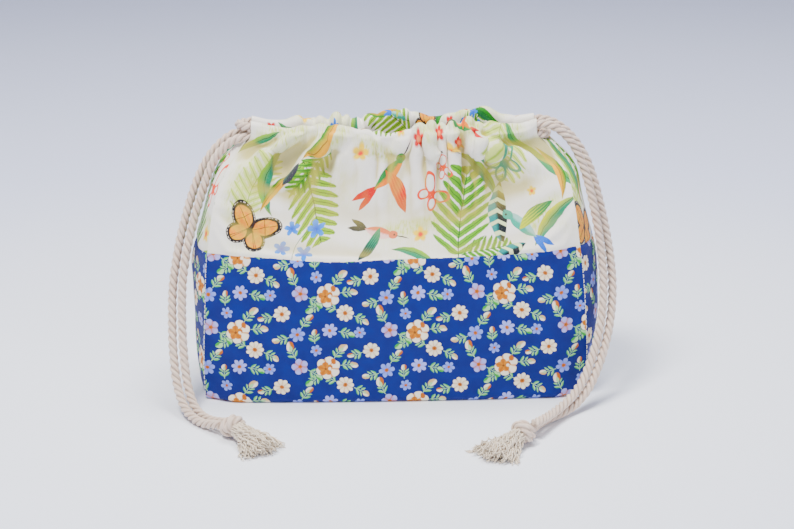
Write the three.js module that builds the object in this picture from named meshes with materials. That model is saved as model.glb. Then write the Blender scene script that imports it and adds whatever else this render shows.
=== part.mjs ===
// Drawstring project bag for knitting: a boxed base, four lower walls, four upper walls that lean in
// to a gathered mouth, two drawstring casings, and two rope drawstrings knotted at opposite ends.
// Millimetres, +Z up. The origin is at the middle of the base, on the surface the bag stands on.
// +X runs along the width and the front faces -Y.
import * as THREE from 'three';

// Driving dimensions of the bag's outer form. A level is one horizontal outline of the bag:
// half width, half depth, and how far the long and the short walls bow out at their middles.
const LEVELS = [
  { z: 0, halfWidth: 124, halfDepth: 50, frontBow: 4, sideBow: 5 },
  { z: 24, halfWidth: 125, halfDepth: 50, frontBow: 4, sideBow: 5 },
  { z: 94, halfWidth: 125, halfDepth: 50, frontBow: 4, sideBow: 5 },
  { z: 128, halfWidth: 119, halfDepth: 31, frontBow: 5, sideBow: 3 },
  { z: 148, halfWidth: 112, halfDepth: 20, frontBow: 6, sideBow: 3 },
  { z: 161, halfWidth: 101.5, halfDepth: 13, frontBow: 6, sideBow: 2 },
];
const SEAM_HEIGHT = 94;
const MOUTH_HALF_WIDTH = 93;

// Fabric layers, from the outside in.
const GAP = 0.3;
const OUTER = 1.0;
const FLEECE = 1.6;
const LINING = 0.8;
const FLEECE_INSET = OUTER + GAP;
const LINING_INSET = FLEECE_INSET + FLEECE + GAP;
const CAVITY_INSET = LINING_INSET + LINING + GAP;

// The mouth halves turn on the seam, so they keep more room there than a plain gap.
const HINGE_GAP = 0.7;
const UPPER_LINING_INSET = 1.8;
const WALL_TOP = 160.5;
const GUSSET_TOP = 160.5;

// Drawstring casings: flat sleeves along the mouth, each around two parallel runs of rope.
const CASING_BOTTOM = WALL_TOP + GAP;
const CASING_HEIGHT = 22.5;
const CASING_DEPTH = 9.5;
const CASING_WALL = 1.0;
const CASING_END = MOUTH_HALF_WIDTH - GAP;
const MOUTH_END_OFFSET = 8;
const MOUTH_MIDDLE_BOW = 6;

// Rope drawstrings.
const ROPE_RADIUS = 3;
const ROPE_SIDES = 10;
const LEFT_LANE = 168;
const RIGHT_LANE = 175;
const LANE_START = MOUTH_HALF_WIDTH + GAP;
const KNOT_RADIUS = 8;
const KNOT_END_RADIUS = 7;
const KNOT_LENGTH = 14;
const TASSEL_LENGTH = 34;
const TASSEL_END_RADIUS = 14;
const TASSEL_FLATNESS = 0.4;
const TASSEL_LIFT = 0.2;

// Routes of the four rope tails, from the casing's end down the side and along the surface to the knot.
const TAIL_ROUTES = {
  left_cord_front_tail: [
    [-93.3, -8, 168], [-99, -8.4, 168], [-105, -9, 166], [-111, -10, 161.5], [-116.3, -11, 155],
    [-120.5, -12.5, 146.5], [-124, -14.5, 137], [-127, -17, 128], [-130, -20, 119], [-132.5, -23, 109.5],
    [-135, -26, 100], [-137, -30, 89], [-138.5, -33.5, 78], [-139, -38, 66], [-139, -43, 54],
    [-138.5, -48.5, 42], [-137.5, -54, 30.5], [-136, -59.5, 20], [-133.5, -66, 11.5], [-130, -73, 6],
    [-125, -81, 3.6], [-119, -88.5, 3.6], [-113, -95.3, 5.2], [-107.3, -101.6, 7.2],
  ],
  left_cord_back_tail: [
    [-93.3, 8, 168], [-99, 7.8, 168.3], [-106, 6.5, 166.8], [-113, 4, 162], [-119.5, 1, 155.5],
    [-125, -2.5, 147], [-129.5, -6.5, 137.5], [-133, -10, 128], [-136, -13.5, 118.5],
    [-138.7, -17, 109], [-141, -20.5, 99.5], [-143, -24.5, 89], [-144.7, -29, 78], [-145.5, -34, 66],
    [-145.6, -39.5, 54], [-145.3, -45.5, 42], [-144.4, -52, 30.5], [-142.9, -58.5, 20.5],
    [-140.3, -66, 12], [-136.3, -74.5, 6], [-130.8, -84, 3.6], [-124.5, -92.5, 3.4],
    [-118.2, -99.4, 5.2], [-112.4, -105.7, 7.2],
  ],
  right_cord_front_tail: [
    [93.3, -8, 175], [99, -8.3, 175], [105.5, -9, 173], [111.5, -10, 168.5], [117, -11, 162],
    [121.3, -12.5, 153.5], [124.8, -14.5, 144.5], [127.5, -16.5, 135], [129.7, -19, 125.5],
    [131.7, -21.5, 116], [133.4, -24.5, 106], [134.7, -27.5, 96], [135.6, -31, 86], [136, -35, 75.5],
    [135.4, -39.5, 64.5], [134, -44, 54], [131.7, -48.8, 44], [128.5, -54, 34.5],
    [124.5, -60, 26], [119.8, -66.8, 18.8], [114.3, -74, 13.7], [108.5, -81.5, 10.7],
    [102.5, -89.5, 9], [96.5, -97.8, 8.4], [91.3, -106.3, 8.9], [86.4, -114.6, 10], [81.7, -121.9, 11],
  ],
  right_cord_back_tail: [
    [93.3, 8, 175], [99, 7.8, 175], [106, 7, 173], [113, 5.5, 168.5], [119.5, 3.5, 162],
    [125, 1, 154], [129.3, -2, 145], [132.5, -5, 135.5], [135, -8, 126], [137.3, -11.5, 116],
    [139.3, -15, 106], [141, -19, 96], [142.2, -23.5, 85.5], [142.8, -28.5, 74.5],
    [142.3, -34, 63.5], [140.7, -40, 52.5], [138, -46.5, 42], [134.3, -53, 32],
    [129.5, -60, 22.5], [123.5, -67.5, 13.5], [115.5, -75.5, 7], [107.5, -82.5, 4],
    [100, -88.8, 3.3], [92.8, -95.8, 3.3], [86.8, -104, 3.5], [82.6, -112.2, 4.4], [79.2, -119.7, 5.6],
  ],
};

// Where each knot lies and which way its tassel points, as an angle from +X towards +Y.
const LEFT_KNOT = { x: -105, y: -110, angle: -0.9 };
const RIGHT_KNOT = { x: 75, y: -127, angle: -2.32 };

const COTTON_BLUE = { color: 0x0a47ad, roughness: 0.85, metalness: 0 };
const COTTON_CREAM = { color: 0xf3efe2, roughness: 0.85, metalness: 0 };
const LINING_COTTON = { color: 0xe9e3cf, roughness: 0.9, metalness: 0 };
const FLEECE_WHITE = { color: 0xf5f5f2, roughness: 1, metalness: 0 };
const BASE_BOARD = { color: 0xd9d6cf, roughness: 0.6, metalness: 0 };
const COTTON_ROPE = { color: 0xefe6da, roughness: 0.95, metalness: 0 };

const bag = new THREE.Group();

function add(name, geometry, finish) {
  const mesh = new THREE.Mesh(geometry, new THREE.MeshStandardMaterial(finish));
  mesh.name = name;
  bag.add(mesh);
  return mesh;
}

// The bag's outline at a height, between the two levels that it lies between.
function outlineAt(z) {
  const last = LEVELS.length - 2;
  const upper = LEVELS.findIndex((level) => level.z > z);
  const i = upper < 0 ? last : Math.min(Math.max(upper - 1, 0), last);
  const low = LEVELS[i];
  const high = LEVELS[i + 1];
  const f = Math.min((z - low.z) / (high.z - low.z), 1);
  const mixed = (key) => low[key] + (high[key] - low[key]) * f;
  return {
    halfWidth: mixed('halfWidth'),
    halfDepth: mixed('halfDepth'),
    frontBow: mixed('frontBow'),
    sideBow: mixed('sideBow'),
  };
}

// Moves each vertex of a geometry by a function of its place.
function warp(geometry, place) {
  const position = geometry.attributes.position;
  for (let i = 0; i < position.count; i += 1) {
    const [x, y, z] = place(position.getX(i), position.getY(i), position.getZ(i));
    position.setXYZ(i, x, y, z);
  }
  return geometry;
}

// Turns every face of a geometry over, where its mapping mirrors it.
function flipIf(mirrored, geometry) {
  const index = geometry.index;
  for (let i = 0; mirrored && i < index.count; i += 3) {
    const second = index.getX(i + 1);
    index.setX(i + 1, index.getX(i + 2));
    index.setX(i + 2, second);
  }
  return geometry;
}

// The heights of a wall's rows: its ends, and every level between them.
function rowHeights(bottom, top) {
  const between = LEVELS.map((level) => level.z).filter((z) => z > bottom + 1 && z < top - 1);
  return [bottom, ...between, top];
}

// A block over 0..1 across, over its inset from the outline and over its height, before it is
// bent into a wall.
function block(inset, thickness, bottom, top, across) {
  const heights = rowHeights(bottom, top);
  const rows = heights.length - 1;
  const geometry = new THREE.BoxGeometry(1, thickness, rows, across, 1, rows);
  geometry.translate(0.5, inset + thickness / 2, rows / 2);
  return warp(geometry, (u, d, row) => [u, d, heights[Math.round(row)]]);
}

// A long wall, front (side -1) or back (side 1), or a stretch of one. from and to give the
// stretch's ends along X, each as a function of the outline's half width at that inset.
function longWall(side, inset, thickness, bottom, top, from, to, across) {
  const geometry = block(inset, thickness, bottom, top, across);
  return flipIf(side > 0, warp(geometry, (u, d, z) => {
    const outline = outlineAt(z);
    const reach = outline.halfWidth - d;
    const x = from(reach) + (to(reach) - from(reach)) * u;
    const bow = outline.frontBow * (1 - (x / reach) ** 2);
    return [x, side * (outline.halfDepth - d + bow), z];
  }));
}

// A short wall, left (side -1) or right (side 1).
function shortWall(side, inset, thickness, bottom, top, across) {
  const geometry = block(inset, thickness, bottom, top, across);
  return flipIf(side < 0, warp(geometry, (u, d, z) => {
    const outline = outlineAt(z);
    const reach = outline.halfDepth - d;
    const y = (2 * u - 1) * (reach - GAP);
    const bow = outline.sideBow * (1 - (y / reach) ** 2);
    return [side * (outline.halfWidth - d + bow), y, z];
  }));
}

const wholeFrom = (reach) => GAP - reach;
const wholeTo = (reach) => reach - GAP;

// A level plate with the bag's outline, for the base and its layers.
function basePlate(inset, bottom, thickness) {
  const outline = outlineAt(0);
  const x = outline.halfWidth - inset;
  const y = outline.halfDepth - inset;
  const shape = new THREE.Shape();
  shape.moveTo(-x, -y);
  shape.quadraticCurveTo(0, -y - 2 * outline.frontBow, x, -y);
  shape.quadraticCurveTo(x + 2 * outline.sideBow, 0, x, y);
  shape.quadraticCurveTo(0, y + 2 * outline.frontBow, -x, y);
  shape.quadraticCurveTo(-x - 2 * outline.sideBow, 0, -x, -y);
  const geometry = new THREE.ExtrudeGeometry(shape, {
    depth: thickness,
    bevelEnabled: false,
    curveSegments: 6,
  });
  return geometry.translate(0, 0, bottom);
}

function addBase() {
  add('base_panel', basePlate(0, 0, OUTER), COTTON_BLUE);
  add('base_stiffener', basePlate(CAVITY_INSET, FLEECE_INSET, FLEECE), BASE_BOARD);
  add('base_lining', basePlate(CAVITY_INSET, LINING_INSET, LINING), LINING_COTTON);
}

function addLowerWalls() {
  const layers = [
    { part: 'lower_panel', inset: 0, thickness: OUTER, finish: COTTON_BLUE },
    { part: 'fleece', inset: FLEECE_INSET, thickness: FLEECE, finish: FLEECE_WHITE },
    { part: 'lower_lining', inset: LINING_INSET, thickness: LINING, finish: LINING_COTTON },
  ];
  const bottom = OUTER + GAP;
  const top = SEAM_HEIGHT - HINGE_GAP;
  for (const { part, inset, thickness, finish } of layers) {
    for (const [name, side] of [['front', -1], ['back', 1]]) {
      const wall = longWall(side, inset, thickness, bottom, top, wholeFrom, wholeTo, 8);
      add(`${name}_${part}`, wall, finish);
    }
    for (const [name, side] of [['left', -1], ['right', 1]]) {
      add(`${name}_gusset_${part}`, shortWall(side, inset, thickness, bottom, top, 6), finish);
    }
  }
}

// Above the seam the side walls and the ends of the long walls stay with the base. The middles of
// the long walls, up to the mouth's half width, swing out when the mouth is opened.
function addUpperWalls() {
  const bottom = SEAM_HEIGHT - HINGE_GAP + GAP;
  for (const [name, side] of [['left', -1], ['right', 1]]) {
    add(`${name}_gusset_upper_panel`, shortWall(side, 0, OUTER, bottom, GUSSET_TOP, 6), COTTON_CREAM);
  }
  for (const [name, side] of [['front', -1], ['back', 1]]) {
    addLongUpperWall(name, side);
    const leftEnd = longWall(side, 0, OUTER, bottom, WALL_TOP, wholeFrom, () => -MOUTH_HALF_WIDTH, 3);
    const rightEnd = longWall(side, 0, OUTER, bottom, WALL_TOP, () => MOUTH_HALF_WIDTH, wholeTo, 3);
    add(`${name}_upper_left_shoulder`, leftEnd, COTTON_CREAM);
    add(`${name}_upper_right_shoulder`, rightEnd, COTTON_CREAM);
  }
}

function addLongUpperWall(name, side) {
  const bottom = SEAM_HEIGHT + HINGE_GAP;
  const from = () => -CASING_END;
  const to = () => CASING_END;
  const panel = longWall(side, 0, OUTER, bottom, WALL_TOP, from, to, 8);
  const lining = longWall(side, UPPER_LINING_INSET, LINING, bottom, WALL_TOP, from, to, 8);
  add(`${name}_upper_panel`, panel, COTTON_CREAM);
  add(`${name}_upper_lining`, lining, LINING_COTTON);
}

// How far from the bag's middle plane a casing and its ropes run, at a place along the mouth.
function mouthOffset(x) {
  return MOUTH_END_OFFSET + MOUTH_MIDDLE_BOW * Math.cos((Math.PI * x) / (2 * MOUTH_HALF_WIDTH));
}

function rectangle(path, halfDepth, bottom, top) {
  path.moveTo(-halfDepth, bottom);
  path.lineTo(halfDepth, bottom);
  path.lineTo(halfDepth, top);
  path.lineTo(-halfDepth, top);
  path.lineTo(-halfDepth, bottom);
  return path;
}

function casing(side) {
  const section = rectangle(new THREE.Shape(), CASING_DEPTH / 2, 0, CASING_HEIGHT);
  const inner = CASING_DEPTH / 2 - CASING_WALL;
  section.holes.push(rectangle(new THREE.Path(), inner, CASING_WALL, CASING_HEIGHT - CASING_WALL));
  const geometry = new THREE.ExtrudeGeometry(section, {
    depth: 2 * CASING_END,
    steps: 10,
    bevelEnabled: false,
  });
  return warp(geometry, (y, z, x) => {
    const along = x - CASING_END;
    return [along, y + side * mouthOffset(along), z + CASING_BOTTOM];
  });
}

function ropeSection() {
  const shape = new THREE.Shape();
  for (let i = 0; i < ROPE_SIDES; i += 1) {
    const angle = (2 * Math.PI * i) / ROPE_SIDES;
    const x = ROPE_RADIUS * Math.cos(angle);
    const y = ROPE_RADIUS * Math.sin(angle);
    if (i === 0) {
      shape.moveTo(x, y);
    } else {
      shape.lineTo(x, y);
    }
  }
  shape.closePath();
  return shape;
}

function rope(path, steps) {
  return new THREE.ExtrudeGeometry(ropeSection(), { steps, extrudePath: path, bevelEnabled: false });
}

function smoothPath(points) {
  return new THREE.CatmullRomCurve3(points.map((p) => new THREE.Vector3(...p)));
}

function casingRun(side, lane) {
  const points = [];
  const count = 11;
  for (let i = 0; i < count; i += 1) {
    const x = CASING_END * ((2 * i) / (count - 1) - 1);
    points.push([x, side * mouthOffset(x), lane]);
  }
  return rope(smoothPath(points), 14);
}

// The end where a rope turns from the front casing into the back one.
function turn(endSide, lane) {
  const points = [];
  const count = 9;
  for (let i = 0; i < count; i += 1) {
    const angle = Math.PI * (i / (count - 1) - 0.5);
    const out = MOUTH_END_OFFSET * Math.cos(angle);
    points.push([endSide * (LANE_START + out), MOUTH_END_OFFSET * Math.sin(angle), lane]);
  }
  return rope(smoothPath(points), 10);
}

function knot({ x, y, angle }) {
  const half = KNOT_LENGTH / 2;
  const profile = [
    new THREE.Vector2(0, -half),
    new THREE.Vector2(KNOT_END_RADIUS, -half),
    new THREE.Vector2(KNOT_RADIUS, -half / 2),
    new THREE.Vector2(KNOT_RADIUS, half / 2),
    new THREE.Vector2(KNOT_END_RADIUS, half),
    new THREE.Vector2(0, half),
  ];
  const geometry = new THREE.LatheGeometry(profile, 12);
  geometry.rotateZ(-Math.PI / 2).rotateZ(angle);
  return geometry.translate(x, y, KNOT_RADIUS + TASSEL_LIFT);
}

// A frayed end: round at the knot, wide and flattened on the surface at its tip.
function tassel({ x, y, angle }) {
  const geometry = new THREE.CylinderGeometry(TASSEL_END_RADIUS, KNOT_END_RADIUS, TASSEL_LENGTH, 14, 3);
  geometry.rotateZ(-Math.PI / 2);
  const start = KNOT_LENGTH / 2 + GAP;
  warp(geometry, (along, across, up) => {
    const f = along / TASSEL_LENGTH + 0.5;
    const radius = KNOT_END_RADIUS + (TASSEL_END_RADIUS - KNOT_END_RADIUS) * f;
    const flat = 1 + (TASSEL_FLATNESS - 1) * f;
    return [along + TASSEL_LENGTH / 2 + start, across, (up + radius) * flat];
  });
  return geometry.rotateZ(angle).translate(x, y, TASSEL_LIFT);
}

function addMouth() {
  for (const [name, side] of [['front', -1], ['back', 1]]) {
    add(`${name}_drawstring_casing`, casing(side), COTTON_CREAM);
    add(`left_cord_${name}_run`, casingRun(side, LEFT_LANE), COTTON_ROPE);
    add(`right_cord_${name}_run`, casingRun(side, RIGHT_LANE), COTTON_ROPE);
  }
  add('left_cord_turn', turn(1, LEFT_LANE), COTTON_ROPE);
  add('right_cord_turn', turn(-1, RIGHT_LANE), COTTON_ROPE);
}

function addTails() {
  for (const [name, route] of Object.entries(TAIL_ROUTES)) {
    add(name, rope(smoothPath(route), 26), COTTON_ROPE);
  }
  for (const [name, place] of [['left', LEFT_KNOT], ['right', RIGHT_KNOT]]) {
    add(`${name}_cord_knot`, knot(place), COTTON_ROPE);
    add(`${name}_cord_tassel`, tassel(place), COTTON_ROPE);
  }
}

addBase();
addLowerWalls();
addUpperWalls();
addMouth();
addTails();

export default bag;
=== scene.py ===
import math

import bpy
import numpy as np
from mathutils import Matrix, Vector


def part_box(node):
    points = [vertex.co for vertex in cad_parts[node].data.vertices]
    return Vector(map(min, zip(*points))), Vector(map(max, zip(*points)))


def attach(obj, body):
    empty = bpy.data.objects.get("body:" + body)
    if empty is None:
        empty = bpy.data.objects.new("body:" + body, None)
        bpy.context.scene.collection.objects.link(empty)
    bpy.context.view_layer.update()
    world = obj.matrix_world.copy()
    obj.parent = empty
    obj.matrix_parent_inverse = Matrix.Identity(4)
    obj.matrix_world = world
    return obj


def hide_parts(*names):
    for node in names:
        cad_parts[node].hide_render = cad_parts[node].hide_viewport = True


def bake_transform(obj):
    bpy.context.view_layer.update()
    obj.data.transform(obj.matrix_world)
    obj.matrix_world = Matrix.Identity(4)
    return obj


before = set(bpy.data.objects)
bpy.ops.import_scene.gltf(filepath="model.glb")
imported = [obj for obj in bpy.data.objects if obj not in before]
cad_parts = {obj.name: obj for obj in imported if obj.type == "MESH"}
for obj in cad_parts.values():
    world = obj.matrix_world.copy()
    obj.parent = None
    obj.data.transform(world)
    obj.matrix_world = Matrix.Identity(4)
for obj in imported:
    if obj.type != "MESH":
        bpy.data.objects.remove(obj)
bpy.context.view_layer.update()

# Shapes are worked out in millimetres, in the row frame, and become metres in make_object.
MM = 0.001


def box_mm(node):
    """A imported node's lowest and highest corners, in millimetres."""
    low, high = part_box(node)
    return np.array(low) / MM, np.array(high) / MM


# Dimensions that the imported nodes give.
FRONT_LOW, FRONT_HIGH = box_mm("front_lower_panel")
UPPER_LOW, _ = box_mm("front_upper_panel")
CASING_LOW, CASING_HIGH = box_mm("front_drawstring_casing")
SEAM_Z = UPPER_LOW[2] - 0.7
CASING_Z = CASING_LOW[2]
MOUTH_END = CASING_HIGH[0]
FRONT_BOW = 4.0
HALF_DEPTH = -FRONT_LOW[1] - FRONT_BOW
HALF_WIDTH = FRONT_HIGH[0]

# The print's coordinates on the cloth are in units of 100 mm.
UV_UNIT = 100


# ==== Curves and meshes ====


def smooth_curve(xs, ys):
    """A smooth function through the given points, flat outside them."""
    xs = np.array(xs, float)
    ys = np.array(ys, float)
    steps = np.diff(ys) / np.diff(xs)
    slopes = np.concatenate([[steps[0]], (steps[1:] + steps[:-1]) / 2, [steps[-1]]])

    def at(x):
        x = np.clip(np.asarray(x, float), xs[0], xs[-1])
        i = np.clip(np.searchsorted(xs, x, side="right") - 1, 0, len(xs) - 2)
        h = xs[i + 1] - xs[i]
        t = (x - xs[i]) / h
        rise = (3 - 2 * t) * t * t
        first = t * (1 - t) ** 2 * h * slopes[i]
        second = t * t * (t - 1) * h * slopes[i + 1]
        return ys[i] * (1 - rise) + ys[i + 1] * rise + first + second

    return at


def ease(value, low, high):
    """0 below low, 1 above high, and smooth between."""
    t = np.clip((np.asarray(value, float) - low) / (high - low), 0, 1)
    return t * t * (3 - 2 * t)


RIPPLE_WAVES = 7


def ripple(u, v, wavelength, seed):
    """A smooth random undulation of about -1 to 1."""
    rng = np.random.default_rng(seed)
    total = np.zeros(np.broadcast(u, v).shape)
    for _ in range(RIPPLE_WAVES):
        angle = rng.uniform(0, math.pi)
        number = 2 * math.pi / (wavelength * rng.uniform(0.7, 1.5))
        phase = rng.uniform(0, 2 * math.pi)
        total += np.sin(number * (u * math.cos(angle) + v * math.sin(angle)) + phase)
    return total / math.sqrt(RIPPLE_WAVES) / 1.2


def unit(vectors):
    """Each vector at length 1."""
    return vectors / np.maximum(np.linalg.norm(vectors, axis=-1, keepdims=True), 1e-9)


def grid_faces(rows, columns, closed=False):
    """Quads of a grid, row by row. A closed grid joins its last column to its first."""
    r = np.arange(rows - 1)[:, None]
    c = np.arange(columns if closed else columns - 1)[None, :]
    after = (c + 1) % columns
    quads = [r * columns + c, r * columns + after, (r + 1) * columns + after, (r + 1) * columns + c]
    return np.stack([np.broadcast_to(q, (r.shape[0], c.shape[1])) for q in quads], -1).reshape(-1, 4)


def make_object(name, points, faces, material, uv=None):
    """A mesh object from points in millimetres. uv is one pair per point."""
    mesh = bpy.data.meshes.new(name)
    points = np.asarray(points, float).reshape(-1, 3) * MM
    faces = [list(map(int, f)) for f in faces]
    mesh.from_pydata(points.tolist(), [], faces)
    if uv is not None:
        layer = mesh.uv_layers.new(name="cloth")
        index = np.zeros(len(mesh.loops), np.int32)
        mesh.loops.foreach_get("vertex_index", index)
        layer.data.foreach_set("uv", np.asarray(uv, np.float32).reshape(-1, 2)[index].ravel())
    mesh.polygons.foreach_set("use_smooth", [True] * len(mesh.polygons))
    mesh.materials.append(material)
    obj = bpy.data.objects.new(name, mesh)
    bpy.context.scene.collection.objects.link(obj)
    return obj


def bake_modifiers(obj):
    """Makes the object's mesh what its modifiers show, and removes them."""
    graph = bpy.context.evaluated_depsgraph_get()
    mesh = bpy.data.meshes.new_from_object(obj.evaluated_get(graph))
    obj.modifiers.clear()
    obj.data = mesh
    return obj


def distances(line):
    """How far along a line each of its points is."""
    return np.concatenate([[0], np.cumsum(np.linalg.norm(np.diff(line, axis=0), axis=1))])


def resample(route, step):
    """Points a step apart along a Catmull-Rom curve through the route."""
    p = np.array(route, float)
    p = np.vstack([2 * p[0] - p[1], p, 2 * p[-1] - p[-2]])
    fine = []
    for i in range(1, len(p) - 2):
        t = np.linspace(0, 1, 24, endpoint=False)[:, None]
        a, b, c, d = p[i - 1], p[i], p[i + 1], p[i + 2]
        curved = (2 * a - 5 * b + 4 * c - d) * t**2 + (3 * b - a - 3 * c + d) * t**3
        fine.append(0.5 * (2 * b + (c - a) * t + curved))
    fine = np.vstack(fine + [p[-2][None]])
    along = distances(fine)
    count = max(int(along[-1] / step), 2) + 1
    at = np.linspace(0, along[-1], count)
    return np.stack([np.interp(at, along, fine[:, k]) for k in range(3)], -1)


def frames_along(line):
    """Two directions across a line at each of its points, turned as little as possible."""
    tangents = unit(np.gradient(line, axis=0))
    first = np.cross(tangents[0], [0, 0, 1.0])
    if np.linalg.norm(first) < 0.2:
        first = np.cross(tangents[0], [0, 1.0, 0])
    normals = [first / np.linalg.norm(first)]
    for t in tangents[1:]:
        n = normals[-1] - t * (normals[-1] @ t)
        normals.append(n / np.linalg.norm(n))
    normals = np.array(normals)
    return normals, np.cross(tangents, normals)


def tube_mesh(line, angles, turned, reach, v):
    """Points, faces and uv of a tube along a line, with its ends closed."""
    across, up = frames_along(line)
    around = np.cos(turned)[..., None] * across[:, None] + np.sin(turned)[..., None] * up[:, None]
    points = line[:, None] + around * reach[..., None]
    count = len(angles)
    faces = [f[::-1] for f in grid_faces(len(line), count, closed=True).tolist()]
    faces.append(list(range(count)))
    faces.append([(len(line) - 1) * count + i for i in reversed(range(count))])
    uv = np.stack(np.broadcast_arrays(angles / (2 * math.pi), v[:, None]), -1)
    return points.reshape(-1, 3), faces, uv.reshape(-1, 2)


def join_parts(parts):
    """One set of points, faces and uv from several."""
    points, faces, uvs, start = [], [], [], 0
    for p, f, uv in parts:
        points.append(p)
        uvs.append(uv)
        faces.extend([[start + i for i in face] for face in f])
        start += len(p)
    return np.vstack(points), faces, np.vstack(uvs)


def store(obj, name, values):
    """Puts a number on each point of a mesh, for its material to read."""
    marks = obj.data.attributes.new(name, "FLOAT", "POINT")
    marks.data.foreach_set("value", np.asarray(values, np.float32))


# ==== Camera, floor and light ====

CAMERA_AZIMUTH = math.radians(-2.5)
CAMERA_ELEVATION = math.radians(17.0)
CAMERA_DISTANCE = 1.2
CAMERA_LENS = 85
SENSOR_WIDTH = 36


def add_camera():
    data = bpy.data.cameras.new("camera")
    data.lens = CAMERA_LENS
    data.sensor_width = SENSOR_WIDTH
    camera = bpy.data.objects.new("camera", data)
    bpy.context.scene.collection.objects.link(camera)
    target = Vector((0, FRONT_LOW[1] + 2, SEAM_Z)) * MM
    level = math.cos(CAMERA_ELEVATION)
    x, y = math.sin(CAMERA_AZIMUTH) * level, -math.cos(CAMERA_AZIMUTH) * level
    back = Vector((x, y, math.sin(CAMERA_ELEVATION)))
    camera.location = target + back * CAMERA_DISTANCE
    camera.rotation_mode = "QUATERNION"
    camera.rotation_quaternion = (-back).to_track_quat("-Z", "Y")
    bpy.context.scene.camera = camera


# Painted light on the paper: brighter near the bag, dimming to a deeper painted shade further out, as
# lamplight falls off.
PAPER_PAINTED_LIGHT = (0.91, 0.935, 1.0, 1)
PAPER_PAINTED_SHADE = (0.745, 0.785, 0.985, 1)
PAPER_NEAR_REACH = 0.12
PAPER_FAR_REACH = 0.7
# The paper's section, as radius and height: level, then turning up into a wall.
PAPER_SECTION = [
    (0.001, 0), (900, 0), (3200, 0), (3500, 30), (3800, 130), (4050, 310), (4220, 560), (4300, 900),
    (4320, 2600),
]
LIGHT_AIM = (0, 0, 0.08)
# Each light's name, place, width, power and colour.
LIGHTS = [
    ("key", (-0.5, -0.55, 1.6), 0.5, 44, (1.0, 0.99, 0.97)),
    ("fill", (0.9, -1.6, 0.8), 1.2, 14, (0.96, 0.97, 1.0)),
    ("top", (0.3, 0.3, 1.8), 0.8, 34, (0.97, 0.98, 1.0)),
]
WORLD_COLOUR = (0.77, 0.82, 1.0, 1)
WORLD_STRENGTH = 0.34


def add_node(tree, kind, inputs=None, **settings):
    """A shader node with its settings, its inputs set to numbers or joined to other nodes."""
    node = tree.nodes.new("ShaderNode" + kind)
    for name, value in settings.items():
        setattr(node, name, value)
    for name, value in (inputs or {}).items():
        if isinstance(value, bpy.types.NodeSocket):
            tree.links.new(value, node.inputs[name])
        else:
            node.inputs[name].default_value = value
    return node


def backdrop_material():
    """Pale lavender paper, with a painted pool of light near the bag that dims to painted shade further
    away.
    """
    material = bpy.data.materials.new("backdrop_paper")
    material.use_nodes = True
    tree = material.node_tree
    shader = tree.nodes["Principled BSDF"]
    shader.inputs["Roughness"].default_value = 0.85
    place = add_node(tree, "NewGeometry").outputs["Position"]
    distance = add_node(tree, "VectorMath", {0: place}, operation="LENGTH").outputs["Value"]
    reach = {"Value": distance, "From Min": PAPER_NEAR_REACH, "From Max": PAPER_FAR_REACH}
    far = add_node(tree, "MapRange", reach, interpolation_type="SMOOTHSTEP").outputs["Result"]
    mixed = {"Factor": far, "A": PAPER_PAINTED_LIGHT, "B": PAPER_PAINTED_SHADE}
    colour = add_node(tree, "Mix", mixed, data_type="RGBA").outputs["Result"]
    tree.links.new(colour, shader.inputs["Base Color"])
    return material


def add_backdrop():
    """A level paper floor that turns up into a round wall, far out on every side."""
    turn = np.linspace(0, 2 * math.pi, 97)[:-1]
    points = np.array([[r * math.cos(t), r * math.sin(t), z] for r, z in PAPER_SECTION for t in turn])
    rows = np.arange(len(points)).reshape(len(PAPER_SECTION), len(turn))
    after = np.roll(rows, -1, axis=1)
    faces = np.stack([rows[:-1], after[:-1], after[1:], rows[1:]], -1).reshape(-1, 4)
    floor = make_object("floor", points, faces[:, ::-1], backdrop_material())


def add_light(name, location, size, energy, colour):
    data = bpy.data.lights.new(name, "AREA")
    data.shape = "RECTANGLE"
    data.size = size
    data.size_y = size
    data.energy = energy
    data.color = colour
    light = bpy.data.objects.new(name, data)
    light.location = location
    direction = Vector(LIGHT_AIM) - Vector(location)
    light.rotation_mode = "QUATERNION"
    light.rotation_quaternion = direction.to_track_quat("-Z", "Y")
    bpy.context.scene.collection.objects.link(light)


def add_lights():
    for light in LIGHTS:
        add_light(*light)
    world = bpy.data.worlds.new("studio")
    world.use_nodes = True
    background = world.node_tree.nodes["Background"]
    background.inputs["Color"].default_value = WORLD_COLOUR
    background.inputs["Strength"].default_value = WORLD_STRENGTH
    bpy.context.scene.world = world


# ==== Materials ====


class Value:
    """A number at each point of a surface, worked out by math nodes."""

    def __init__(self, tree, socket):
        self.tree = tree
        self.socket = socket

    def math(self, operation, *others, clamp=False):
        values = [v.socket if isinstance(v, Value) else v for v in (self, *others)]
        inputs = dict(enumerate(values))
        node = add_node(self.tree, "Math", inputs, operation=operation, use_clamp=clamp)
        return Value(self.tree, node.outputs[0])

    def __add__(self, other):
        return self.math("ADD", other)

    def __sub__(self, other):
        return self.math("SUBTRACT", other)

    def __mul__(self, other):
        return self.math("MULTIPLY", other)

    def __truediv__(self, other):
        return self.math("DIVIDE", other)

    def __abs__(self):
        return self.math("ABSOLUTE")

    def of(self, scale, shift):
        """scale times the value, plus shift."""
        return self.math("MULTIPLY_ADD", scale, shift)

    def soft(self, width):
        """0 where the value is below 0, 1 where it is above width."""
        return self.math("DIVIDE", width, clamp=True)

    def wrap(self, half):
        return self.math("WRAP", half, -half)

    def low(self, other):
        return self.math("MINIMUM", other)

    def high(self, other):
        return self.math("MAXIMUM", other)


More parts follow.
